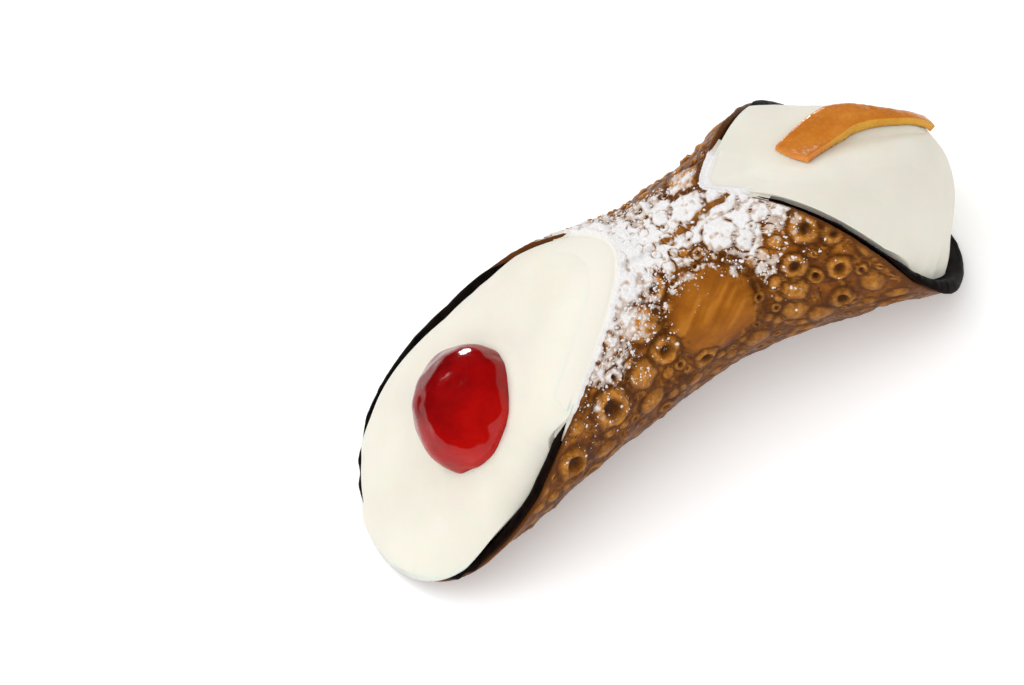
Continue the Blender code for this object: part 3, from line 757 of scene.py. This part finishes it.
def build_sugar(spots):
    """Crust of icing sugar that lies on the top of the tube, worn through along a ragged edge."""
    columns = np.linspace(SUGAR_SPAN[0], SUGAR_SPAN[1], SUGAR_COLUMNS)
    u, angle = np.meshgrid(SUGAR_REACH * steps(*SUGAR_RINGS), columns, indexing="ij")
    points, normal, base, moved, fields = crust_surface(u, angle, spots)
    cover = sugar_cover(moved, base, fields)
    lumps = 0.5 + 0.5 * layered_noise(base, 1.1 * MM, 71, 3)
    fine = noise(base, 0.35 * MM, 74)
    thick = SUGAR_THICK * np.clip(cover, -0.6, 1.0) * (0.55 + 0.75 * np.clip(lumps, 0.0, 1.3))
    thick = thick + 0.05 * MM * fine
    thick = np.where(cover < 0.02, np.minimum(thick, -0.04 * MM), thick)
    surface = points + thick[..., None] * normal
    near, near_cover, near_creamy = sugar_lap(-1.0, columns, surface[0], spots)
    far, far_cover, far_creamy = sugar_lap(1.0, columns, surface[-1], spots)
    surface = np.concatenate([near[::-1], surface, far])
    creamy = np.concatenate([near_creamy[::-1], 0.0 * cover, far_creamy])
    cover = np.concatenate([near_cover[::-1], cover, far_cover])
    faces = grid_quads(len(surface), SUGAR_COLUMNS, closed=False)
    faces = faces[(cover.ravel()[faces] > -0.05).any(axis=1)]
    used = np.unique(faces)
    renumber = np.full(surface.shape[0] * surface.shape[1], -1)
    renumber[used] = np.arange(len(used))
    return new_piece("icing_sugar", surface.reshape(-1, 3)[used], renumber[faces], None,
                     {"cover": cover.ravel()[used], "creamy": creamy.ravel()[used]})


def build_sugar_grains(spots):
    """Loose clumps of sugar, flattened onto the crust past the edge of the dusting."""
    rng = np.random.default_rng(GRAIN_SEED)
    u = rng.uniform(-0.99, 0.99, GRAIN_TRIES)
    angle = rng.uniform(SUGAR_SPAN[0] - 0.1, math.radians(112.0), GRAIN_TRIES)
    base = smooth_tube(u, angle)
    _, fields = crust_fields(u, angle, base[..., 0], base, spots)
    cover = sugar_cover(angle, base, fields)
    chance = bell(cover + 0.25, 0.75) * np.where(cover < 0.1, 1.0, 0.0)
    area = np.clip(np.where(u < 0, NEAR_LIP_REACH, FAR_LIP_REACH) * np.abs(angle), 0.0, 0.05) / 0.05
    pick = np.flatnonzero(rng.random(GRAIN_TRIES) < GRAIN_SHARE * chance * (0.3 + area))
    points, normal, _, _, _ = crust_surface(u[pick], angle[pick], spots)
    work = bmesh.new()
    bmesh.ops.create_icosphere(work, subdivisions=1, radius=1.0)
    ball = np.array([v.co[:] for v in work.verts])
    ball_faces = np.array([[v.index for v in f.verts] for f in work.faces])
    work.free()
    count = len(pick)
    size = (0.10 + 0.26 * rng.random(count) ** 3) * MM
    side = np.cross(normal, rng.normal(size=(count, 3)))
    side /= np.linalg.norm(side, axis=1, keepdims=True)
    third = np.cross(normal, side)
    shape = ball[None] * (1.0 + 0.35 * rng.uniform(-1, 1, size=(count, len(ball), 1)))
    stretch = rng.uniform(0.8, 1.6, count)[:, None]
    verts = (points[:, None] + size[:, None, None] * (shape[..., :1] * (side * stretch)[:, None]
             + shape[..., 1:2] * third[:, None] + 0.55 * shape[..., 2:] * normal[:, None]))
    faces = (np.arange(count)[:, None, None] * len(ball) + ball_faces[None]).reshape(-1, 3)
    verts = verts.reshape(-1, 3)
    verts[:, 2] = np.maximum(verts[:, 2], FLOOR_LEVEL)
    fields = {"cover": np.ones(len(verts)), "creamy": np.zeros(len(verts))}
    return new_piece("sugar_grains", verts, faces, None, fields)


def lining_edge(end, angles):
    """Rings of the lining's edge in a mouth, from the crust's inner face over the lip and back inside."""
    covered = eased(2.2 * overhang(end, angles) - 0.5)[:, None]
    turned = from_top(angles)
    tip = (eased((turned - 74.0) / 30.0) * eased((186.0 - turned) / 10.0))[:, None] * (end < 0.0)
    lower = SHELL_RIM_ROUND + LAYER_GAP
    spot = rim_circle(angles, end)
    rough = (noise(spot, 2.2 * MM, 51) * 0.16 * MM + noise(spot, 0.8 * MM, 52) * 0.07 * MM)[:, None]
    rough = rough * (1.0 - covered)
    bumps = lining_lumps(end, angles)[:, None] * (1.0 - 0.7 * tip) + rough
    upper = lower + LINING_RIM_THICK * (1.0 - 0.8 * covered) + bumps
    inner = SHELL_RIM_WALL + LAYER_GAP
    lap = 0.1 * MM + 0.8 * inner * covered + 0.5 * rough + 0.45 * MM * tip * (1.0 - covered)
    for where, spread, more in LINING_BITS[0 if end < 0.0 else 1]:
        bit = bell(turn_between(angles, math.radians(where)), math.radians(spread))[:, None]
        lap = lap - more * bit
        upper = upper + 0.4 * more * bit
    profile = ((inner, lower), (lap + 0.1 * MM, lower), (lap, 0.6 * lower + 0.4 * upper),
               (lap + 0.15 * MM, 0.2 * lower + 0.8 * upper), (0.55 * lap + 0.45 * inner, upper),
               (0.15 * lap + 0.85 * inner, upper + 0.06 * MM * (1.0 - covered)),
               (inner + 0.40 * LINING_WALL, upper - 0.04 * MM), (inner + 0.80 * LINING_WALL, 0.75 * upper),
               (inner + LINING_WALL, 0.3 * upper))
    return [ring(end, angles, depth, reach) for depth, reach in profile]


def build_lining():
    """Closed tube of the lining, with its uneven edge in both mouths."""
    angles = np.arange(CORE_COLUMNS * 2) * TAU / (CORE_COLUMNS * 2)
    us = steps(*CORE_RINGS)
    rings = [ring(u, angles, shell_wall(u) + LAYER_GAP) for u in us]
    rings += lining_edge(1.0, angles)
    depth = LAYER_GAP + LINING_WALL
    rings += [ring(u, angles, shell_wall(u) + depth) for u in reversed(us)]
    rings += reversed(lining_edge(-1.0, angles))
    faces = grid_quads(len(rings), len(angles), looped=True)
    return facing_out(new_piece("dark_lining", np.concatenate(rings), faces, "lining"))


def cream_detail(points, end):
    """Slight unevenness that the spatula leaves on the cream."""
    streaks = points * np.array([1.0, 0.45, 1.0]) if end < 0.0 else points * np.array([0.5, 1.0, 1.0])
    return (0.22 * noise(streaks, 9.0 * MM, 81) + 0.10 * noise(streaks, 4.0 * MM, 82)
            + 0.035 * noise(points, 1.4 * MM, 83)) * MM


def build_cream():
    """The filling: a plain core, and a face in each mouth that rises a little round the cherry."""
    angles = np.arange(CAP_COLUMNS) * TAU / CAP_COLUMNS
    cherry, _, _, cherry_up = cherry_axes()
    caps = []
    for end in (-1.0, 1.0):
        _, normal = cap_frame(end)
        cap = []
        for k in range(1, CAP_RINGS + 1):
            rho = 1e-4 if k == CAP_RINGS else 1.0 - (k / CAP_RINGS) ** 1.3
            here = cap_point(end, rho, angles)
            here = here + (cream_detail(here, end) * (1.0 - rho ** 10))[:, None] * normal
            if end < 0.0:
                away = here - cherry
                d = np.linalg.norm(away - (away @ cherry_up)[:, None] * cherry_up, axis=1)
                here = here + band(d, CHERRY_COLLAR)[:, None] * normal
            cap.append(here)
        caps.append(cap)
    tube = [ring(u, angles, cream_depth(u)) for u in steps(*CORE_RINGS)[1:-1]]
    rings = (caps[0][::-1] + [cream_rim(-1.0, angles), cream_rim(-1.0, angles, 0.2)] + tube
             + [cream_rim(1.0, angles, 0.2), cream_rim(1.0, angles)] + caps[1])
    piece = new_piece("ricotta_cream", np.concatenate(rings), grid_quads(len(rings), CAP_COLUMNS),
                      "cream")
    return facing_out(piece, len(rings), CAP_COLUMNS)


def cherry_axes():
    """Centre of the cherry and its along, across and up directions."""
    _, up = cap_frame(-1.0)
    rho, degrees = CHERRY_SPOT
    spot = cap_point(-1.0, rho, np.array([math.radians(degrees)]))[0]
    across = np.cross(up, np.array([1.0, 0.0, 0.0]))
    across /= np.linalg.norm(across)
    along = np.cross(across, up)
    if across[1] < 0.0:
        across = -across
    if along[0] > 0.0:
        along = -along
    c = math.cos(CHERRY_TURN)
    s = math.sin(CHERRY_TURN)
    across, along = c * along + s * across, c * across - s * along
    return spot + CHERRY_LIFT * up, along, across, up


def build_cherry():
    """The cherry: a dimpled ball, dented on one side."""
    centre, along, across, up = cherry_axes()
    rows, turns = CHERRY_MESH
    lat = np.linspace(0.0, math.pi, rows + 1)
    lat[0], lat[-1] = 1e-3, math.pi - 1e-3
    lat, lon = np.meshgrid(lat, np.arange(turns) * TAU / turns, indexing="ij")
    a = np.sin(lat) * np.cos(lon)
    b = np.sin(lat) * np.sin(lon)
    c = np.cos(lat)
    direction = a[..., None] * along + b[..., None] * across + c[..., None] * up
    size = 1.0 / np.sqrt((a / CHERRY_ALONG) ** 2 + (b / CHERRY_ACROSS) ** 2 + (c / CHERRY_HIGH) ** 2)
    size = size * (1.0 - 0.10 * np.exp(-((a + 0.45) ** 2 + (b + 0.5) ** 2) / 0.12) * (c > -0.2))
    size = size * (1.0 + 0.012 * np.sin(7.0 * a + 3.0 * b) + 0.010 * np.sin(9.0 * b - 4.0 * c))
    ball = np.stack([a, b, c], axis=-1)
    size = size * (1.0 + 0.020 * noise(ball, 0.42, 91) + 0.011 * noise(ball, 0.20, 92))
    points = centre + size[..., None] * direction
    # Painted light: the cherry is painted paler toward one fixed side.
    piece = new_piece("candied_cherry", points.reshape(-1, 3), grid_quads(rows + 1, turns),
                      "cherry", {"paleness_with_painted_light": 0.5 + 0.5 * (direction @ CHERRY_PAINTED_LIGHT_SIDE)})
    return facing_out(piece, rows + 1, turns)


def far_dome(flat):
    """Points of the far cream for places on a flat map of it, one a row."""
    return cap_point(1.0, np.hypot(flat[:, 0], flat[:, 1]), np.arctan2(flat[:, 1], flat[:, 0]))


def dome_slopes(flat):
    """How points of the far dome move with each coordinate of the flat map."""
    step = 0.02
    moves = [far_dome(flat + step * axis) - far_dome(flat - step * axis) for axis in np.eye(2)]
    return np.stack(moves, axis=2) / (2.0 * step)


def peel_station(shares):
    """Places on the flat map, half widths and thicknesses of the peel at shares of its length."""
    table = np.array(PEEL_LINE)
    turn = np.radians(table[:, 1])
    places = np.linspace(0.0, 1.0, len(table))
    curves = [np.polyfit(places, table[:, 0] * turned, 3) for turned in (np.cos(turn), np.sin(turn))]
    spots = np.stack([np.polyval(c, shares) for c in curves], axis=-1)
    half, thick = (np.interp(shares, places, table[:, k]) for k in (2, 3))
    return spots, half, thick


def on_dome(flat, targets):
    """Points of the far dome nearest the targets, searched from places on the flat map."""
    for _ in range(6):
        slopes = dome_slopes(flat)
        turned = slopes.transpose(0, 2, 1)
        gap = turned @ (targets - far_dome(flat))[..., None]
        flat = flat + 0.8 * np.linalg.solve(turned @ slopes, gap)[..., 0]
    return far_dome(flat)


# Section of the peel: place across its half width, and share of its thickness
PEEL_PROFILE = ([(v, 0.0) for v in np.linspace(-1.0, 1.0, 13)] + [(1.0, 0.3), (0.99, 0.6), (0.96, 0.88)]
                + [(v, 1.0 + 0.05 * (1.0 - abs(v))) for v in np.linspace(0.90, -0.90, 15)]
                + [(-0.96, 0.88), (-0.99, 0.6), (-1.0, 0.3)])


def build_peel():
    """The strip of peel, bent over the far cream, with a pitted skin on its upper face."""
    outward = cap_frame(1.0)[1]
    shares = np.linspace(0.0, 1.0, PEEL_STATIONS)
    spot, half, thick = peel_station(shares)
    ahead, behind = (far_dome(peel_station(np.clip(shares + step, 0.0, 1.0))[0]) for step in (0.05, -0.03))
    slopes = dome_slopes(spot)
    up = np.cross(slopes[:, :, 0], slopes[:, :, 1])
    up *= (np.sign(up @ outward) / np.linalg.norm(up, axis=1))[:, None]
    side = np.cross(up, ahead - behind)
    side *= (half / np.linalg.norm(side, axis=1))[:, None]
    lanes = np.linspace(-1.0, 1.0, PEEL_LANES)
    targets = far_dome(spot)[:, None] + lanes[None, :, None] * side[:, None]
    bed = on_dome(np.repeat(spot, PEEL_LANES, axis=0), targets.reshape(-1, 3)).reshape(PEEL_STATIONS, -1, 3)
    rings = []
    for v, raised in PEEL_PROFILE:
        place = (v + 1.0) * (PEEL_LANES - 1) / 2.0
        lane = min(int(place), PEEL_LANES - 2)
        share = place - lane
        rings.append(bed[:, lane] * (1.0 - share) + bed[:, lane + 1] * share
                     + up * (PEEL_LIFT + raised * thick)[:, None])
    points = np.stack(rings, axis=1).reshape(-1, 3)
    count = len(PEEL_PROFILE)
    skin = np.tile([float(raised >= 0.98) for _, raised in PEEL_PROFILE], PEEL_STATIONS)
    tip = np.repeat(1.0 - eased((shares - 0.06) / 0.16), count)
    pores = noise(points, 0.9 * MM, 95) + 0.6 * noise(points, 0.45 * MM, 96)
    points = points + (0.07 * MM * pores * (0.4 + 0.6 * skin))[:, None] * outward
    piece = new_piece("orange_peel_strip", points, grid_quads(PEEL_STATIONS, count),
                      "orange_peel", {"skin": skin, "tip": tip})
    return facing_out(piece, PEEL_STATIONS, count, smooth=False)


class Shader:
    """Small helper to write node materials in a few lines."""

    def __init__(self, name):
        self.material = bpy.data.materials.new(name)
        self.material.use_nodes = True
        self.tree = self.material.node_tree
        self.bsdf = next(n for n in self.tree.nodes if n.type == "BSDF_PRINCIPLED")
        self.place = self.node("ShaderNodeTexCoord").outputs["Object"]

    def feed(self, socket, value):
        """Sets a socket to a number or a colour, or links an output to it."""
        if isinstance(value, (int, float)):
            socket.default_value = value
        elif isinstance(value, tuple):
            socket.default_value = (*value, 1.0)
        else:
            self.tree.links.new(value, socket)

    def node(self, kind, inputs=None, **settings):
        made = self.tree.nodes.new(kind)
        for key, value in settings.items():
            setattr(made, key, value)
        for key, value in (inputs or {}).items():
            self.feed(made.inputs[key], value)
        return made

    def set(self, **values):
        """Sets or links the surface's own sockets."""
        for key, value in values.items():
            self.feed(self.bsdf.inputs[key.replace("_", " ")], value)

    def attribute(self, name):
        return self.node("ShaderNodeAttribute", attribute_name=name).outputs["Fac"]

    def noise(self, scale, detail=3.0, roughness=0.5, stretch=None):
        place = self.place
        if stretch:
            mapping = self.node("ShaderNodeMapping", {"Vector": place})
            mapping.inputs["Scale"].default_value = stretch
            place = mapping.outputs["Vector"]
        inputs = {"Scale": scale, "Detail": detail, "Roughness": roughness, "Vector": place}
        return self.node("ShaderNodeTexNoise", inputs).outputs["Fac"]

    def cells(self, scale):
        return self.node("ShaderNodeTexVoronoi", {"Scale": scale, "Vector": self.place}).outputs["Distance"]

    def ramp(self, source, *stops):
        made = self.node("ShaderNodeValToRGB", {"Fac": source})
        marks = made.color_ramp.elements
        while len(marks) < len(stops):
            marks.new(0.5)
        for mark, (at, colour) in zip(marks, stops):
            mark.position = at
            mark.color = (*colour, 1.0)
        return made.outputs["Color"]

    def curve(self, source, low, high, to_low=0.0, to_high=1.0):
        inputs = {"From Min": low, "From Max": high, "To Min": to_low, "To Max": to_high, "Value": source}
        return self.node("ShaderNodeMapRange", inputs).outputs["Result"]

    def math(self, operation, a, b):
        return self.node("ShaderNodeMath", {0: a, 1: b}, operation=operation).outputs["Value"]

    def mix(self, factor, a, b):
        return self.node("ShaderNodeMix", {0: factor, 6: a, 7: b}, data_type="RGBA").outputs[2]

    def tint(self, base, name, amount, colour):
        """Base with a colour over it by an amount where the mesh's attribute says so."""
        return self.mix(self.math("MULTIPLY", self.attribute(name), amount), base, colour)

    def bump(self, height, strength, distance):
        inputs = {"Strength": strength, "Distance": distance, "Height": height}
        self.set(Normal=self.node("ShaderNodeBump", inputs).outputs["Normal"])


# Tints over the crust: attribute, how much, colour; edge, pit and low are painted shade
CRUST_TINTS = (("edge", 0.84, (0.055, 0.014, 0.002)), ("pit", 0.88, (0.036, 0.010, 0.003)),
               ("seam", 0.70, (0.30, 0.115, 0.020)), ("low", 0.48, (0.070, 0.020, 0.003)),
               ("rim", 0.80, (0.110, 0.036, 0.008)))


def crust_material():
    """Fried dough: brown with darker mottling, golden crowns, painted shade in dark rings, in pits and toward
    the underside, and a dust of sugar.
    """
    m = Shader("fried_crust")
    fine = m.noise(900.0, 4.0, 0.6)
    base = m.ramp(m.noise(140.0, 3.0, 0.55), (0.30, (0.080, 0.022, 0.002)), (0.50, (0.200, 0.060, 0.005)),
                  (0.68, (0.36, 0.122, 0.010)))
    smooth = m.ramp(m.noise(170.0, 4.0, 0.6, stretch=(1.0, 0.35, 1.6)), (0.3, (0.26, 0.075, 0.005)),
                    (0.7, (0.39, 0.132, 0.011)))
    streak = m.attribute("streak")
    smooth = m.mix(m.curve(streak, 0.58, 0.90, 0.0, 0.45), smooth, (0.56, 0.22, 0.030))
    smooth = m.mix(m.curve(streak, 0.40, 0.15, 0.0, 0.35), smooth, (0.17, 0.050, 0.005))
    dark = m.curve(m.noise(620.0, 4.0, 0.65), 0.48, 0.63, 0.0, 0.72)
    base = m.mix(dark, base, (0.040, 0.010, 0.002))
    bright = m.curve(m.noise(480.0, 4.0, 0.65, stretch=(1.0, 1.2, 0.8)), 0.54, 0.66, 0.0, 0.55)
    base = m.mix(bright, base, (0.52, 0.21, 0.030))
    base = m.mix(m.attribute("bubble"), base, smooth)
    golden = m.ramp(fine, (0.35, (0.36, 0.122, 0.012)), (0.65, (0.72, 0.32, 0.062)))
    base = m.tint(base, "crown", 0.80, golden)
    # The edge, pit and low tints are painted shade.
    for name, amount, colour in CRUST_TINTS:
        base = m.tint(base, name, amount, colour)
    sugared = m.attribute("sugared")
    dust = m.math("MULTIPLY", m.curve(m.noise(1500.0, 2.0, 0.5), 0.64, 0.70), m.curve(sugared, -1.8, 0.2))
    film = m.curve(sugared, -0.55, 0.25, 0.0, 0.75)
    m.set(Base_Color=m.mix(m.math("MAXIMUM", dust, film), base, (0.80, 0.76, 0.72)))
    m.set(Roughness=m.curve(fine, 0.3, 0.7, 0.26, 0.46))
    m.set(Specular_IOR_Level=0.05, Coat_Weight=0.07, Coat_Roughness=0.10)
    m.bump(m.math("ADD", fine, m.noise(420.0, 3.0, 0.6)), 0.55, 0.0003)
    return m.material


def sugar_material():
    """Icing sugar: white and dull, brownish where it is thin, and like the cream where it fades into it."""
    m = Shader("icing_sugar")
    grain = m.noise(2600.0, 3.0, 0.7)
    creamy = m.attribute("creamy")
    mottle = m.curve(m.noise(900.0, 3.0, 0.6), 0.35, 0.65, -0.25, 0.25)
    thick = m.curve(m.math("ADD", m.attribute("cover"), mottle), -0.10, 0.75)
    white = m.ramp(grain, (0.3, (0.72, 0.70, 0.70)), (0.7, (0.88, 0.865, 0.86)))
    dusty = m.mix(m.math("MAXIMUM", thick, creamy), (0.50, 0.34, 0.22), white)
    m.set(Base_Color=m.mix(creamy, dusty, (0.80, 0.765, 0.67)))
    m.set(Roughness=m.curve(creamy, 0.0, 1.0, 0.95, 0.56))
    m.set(Specular_IOR_Level=0.18)
    m.bump(m.math("MULTIPLY", grain, m.curve(creamy, 0.0, 0.8, 1.0, 0.15)), 0.6, 0.0002)
    return m.material


def lining_material():
    """Dark, satin layer."""
    m = Shader("dark_lining")
    streak = m.noise(500.0, 4.0, 0.6)
    m.set(Base_Color=m.ramp(streak, (0.35, (0.002, 0.0015, 0.0015)), (0.75, (0.012, 0.005, 0.003))))
    m.set(Roughness=m.curve(streak, 0.3, 0.7, 0.40, 0.60))
    m.set(Specular_IOR_Level=0.03)
    m.bump(streak, 0.4, 0.0002)
    return m.material


def cream_material():
    """Smooth cream, slightly uneven in colour and sheen."""
    m = Shader("ricotta_cream")
    fine = m.noise(1400.0, 3.0, 0.6)
    m.set(Base_Color=m.ramp(m.noise(70.0, 3.0, 0.5), (0.3, (0.77, 0.735, 0.635)), (0.7, (0.82, 0.79, 0.69))))
    m.set(Roughness=m.curve(fine, 0.3, 0.7, 0.46, 0.62))
    m.set(Subsurface_Weight=0.30, Subsurface_Scale=0.0025, Specular_IOR_Level=0.2)
    m.bump(fine, 0.18, 0.00015)
    return m.material


def cherry_material():
    """Candied fruit: deep red and wet, with random paler patches, and painted light that makes it paler on
    one side.
    """
    m = Shader("candied_cherry")
    # Random tone plus painted light: paler toward the side the mesh attribute marks.
    paleness_with_painted_light = m.math("ADD", m.math("MULTIPLY", m.noise(160.0, 3.0, 0.5), 0.55),
                  m.math("MULTIPLY", m.attribute("paleness_with_painted_light"), 0.45))
    m.set(Base_Color=m.ramp(paleness_with_painted_light, (0.25, (0.17, 0.001, 0.002)), (0.5, (0.33, 0.002, 0.002)),
                    (0.75, (0.52, 0.005, 0.002))))
    m.set(Roughness=m.curve(m.noise(700.0, 3.0, 0.6), 0.3, 0.7, 0.16, 0.30))
    m.set(Subsurface_Weight=0.25, Subsurface_Scale=0.003, Specular_IOR_Level=0.03, Coat_Weight=0.55,
          Coat_Roughness=0.05)
    m.bump(m.noise(420.0, 3.0, 0.55), 0.50, 0.0005)
    return m.material


def peel_material():
    """Candied peel: orange, pitted skin and yellower cut sides."""
    m = Shader("candied_peel")
    pores = m.cells(900.0)
    fibre = m.noise(260.0, 4.0, 0.6, stretch=(0.35, 1.0, 1.0))
    outer = m.ramp(fibre, (0.3, (0.50, 0.15, 0.010)), (0.6, (0.62, 0.21, 0.022)), (0.8, (0.72, 0.32, 0.06)))
    cut = m.ramp(fibre, (0.3, (0.64, 0.28, 0.015)), (0.7, (0.76, 0.42, 0.045)))
    cut = m.mix(m.attribute("tip"), cut, (0.72, 0.26, 0.045))
    m.set(Base_Color=m.mix(m.attribute("skin"), cut, outer))
    m.set(Roughness=m.curve(pores, 0.0, 0.6, 0.42, 0.22))
    m.set(Subsurface_Weight=0.25, Subsurface_Scale=0.0015, Specular_IOR_Level=0.3)
    m.bump(pores, 0.35, 0.0002)
    return m.material


def floor_material():
    m = Shader("pale_floor")
    m.set(Base_Color=m.ramp(m.noise(8.0, 2.0, 0.5), (0.3, (0.93, 0.93, 0.93)), (0.7, (0.95, 0.95, 0.95))))
    m.set(Roughness=0.7, Specular_IOR_Level=0.2, Emission_Color=(1.0, 1.0, 1.0),
          Emission_Strength=FLOOR_GLOW)
    return m.material


def camera_axes():
    """The camera's right, up and backward directions."""
    a, e, r = CAMERA_AZIMUTH, CAMERA_ELEVATION, CAMERA_ROLL
    back = np.array([math.sin(a) * math.cos(e), -math.cos(a) * math.cos(e), math.sin(e)])
    right = np.array([math.cos(a), math.sin(a), 0.0])
    up = np.cross(back, right)
    return math.cos(r) * right + math.sin(r) * up, math.cos(r) * up - math.sin(r) * right, back


def add_camera():
    right, up, back = camera_axes()
    place = back * CAMERA_DISTANCE - right * CAMERA_OFFSET[0] - up * CAMERA_OFFSET[1] + SHIFT
    data = bpy.data.cameras.new("camera")
    data.sensor_width = 36.0
    data.lens = CAMERA_SCALE * CAMERA_DISTANCE * data.sensor_width / PICTURE_WIDTH
    data.clip_end = 20.0
    camera = bpy.data.objects.new("camera", data)
    rows = [(right[i], up[i], back[i], place[i]) for i in range(3)] + [(0.0, 0.0, 0.0, 1.0)]
    camera.matrix_world = Matrix(rows)
    bpy.context.scene.collection.objects.link(camera)
    bpy.context.scene.camera = camera


def add_light(name, direction, distance, size, power, glint):
    """Square soft light on the object; a glint shows only as a reflection, and the others never do."""
    data = bpy.data.lights.new(name, "AREA")
    data.shape = "SQUARE"
    data.size = size
    data.energy = power
    lamp = bpy.data.objects.new(name, data)
    direction = Vector(direction).normalized()
    lamp.location = direction * distance + LIGHT_AIM
    lamp.rotation_euler = direction.to_track_quat("Z", "Y").to_euler()
    lamp.visible_glossy = glint
    lamp.visible_diffuse = not glint
    bpy.context.scene.collection.objects.link(lamp)


def add_studio():
    """Pale floor, plain world and soft lights."""
    bpy.ops.mesh.primitive_plane_add(size=FLOOR_SIZE, location=(0.0, 0.0, 0.0))
    floor = bpy.context.object
    floor.name = "floor"
    floor.data.materials.append(floor_material())
    world = bpy.data.worlds.new("studio")
    world.use_nodes = True
    background = world.node_tree.nodes["Background"]
    background.inputs["Color"].default_value = (1.0, 1.0, 1.0, 1.0)
    background.inputs["Strength"].default_value = WORLD_STRENGTH
    world.cycles_visibility.glossy = False
    bpy.context.scene.world = world
    for light in LIGHTS:
        add_light(*light)
    bpy.context.scene.view_settings.view_transform = "Standard"


SPOTS = all_blisters()
SUGAR_LOOK = sugar_material()
build_shell(SPOTS).data.materials.append(crust_material())
build_sugar(SPOTS).data.materials.append(SUGAR_LOOK)
build_sugar_grains(SPOTS).data.materials.append(SUGAR_LOOK)
build_lining().data.materials.append(lining_material())
build_cream().data.materials.append(cream_material())
build_cherry().data.materials.append(cherry_material())
build_peel().data.materials.append(peel_material())
add_camera()
add_studio()
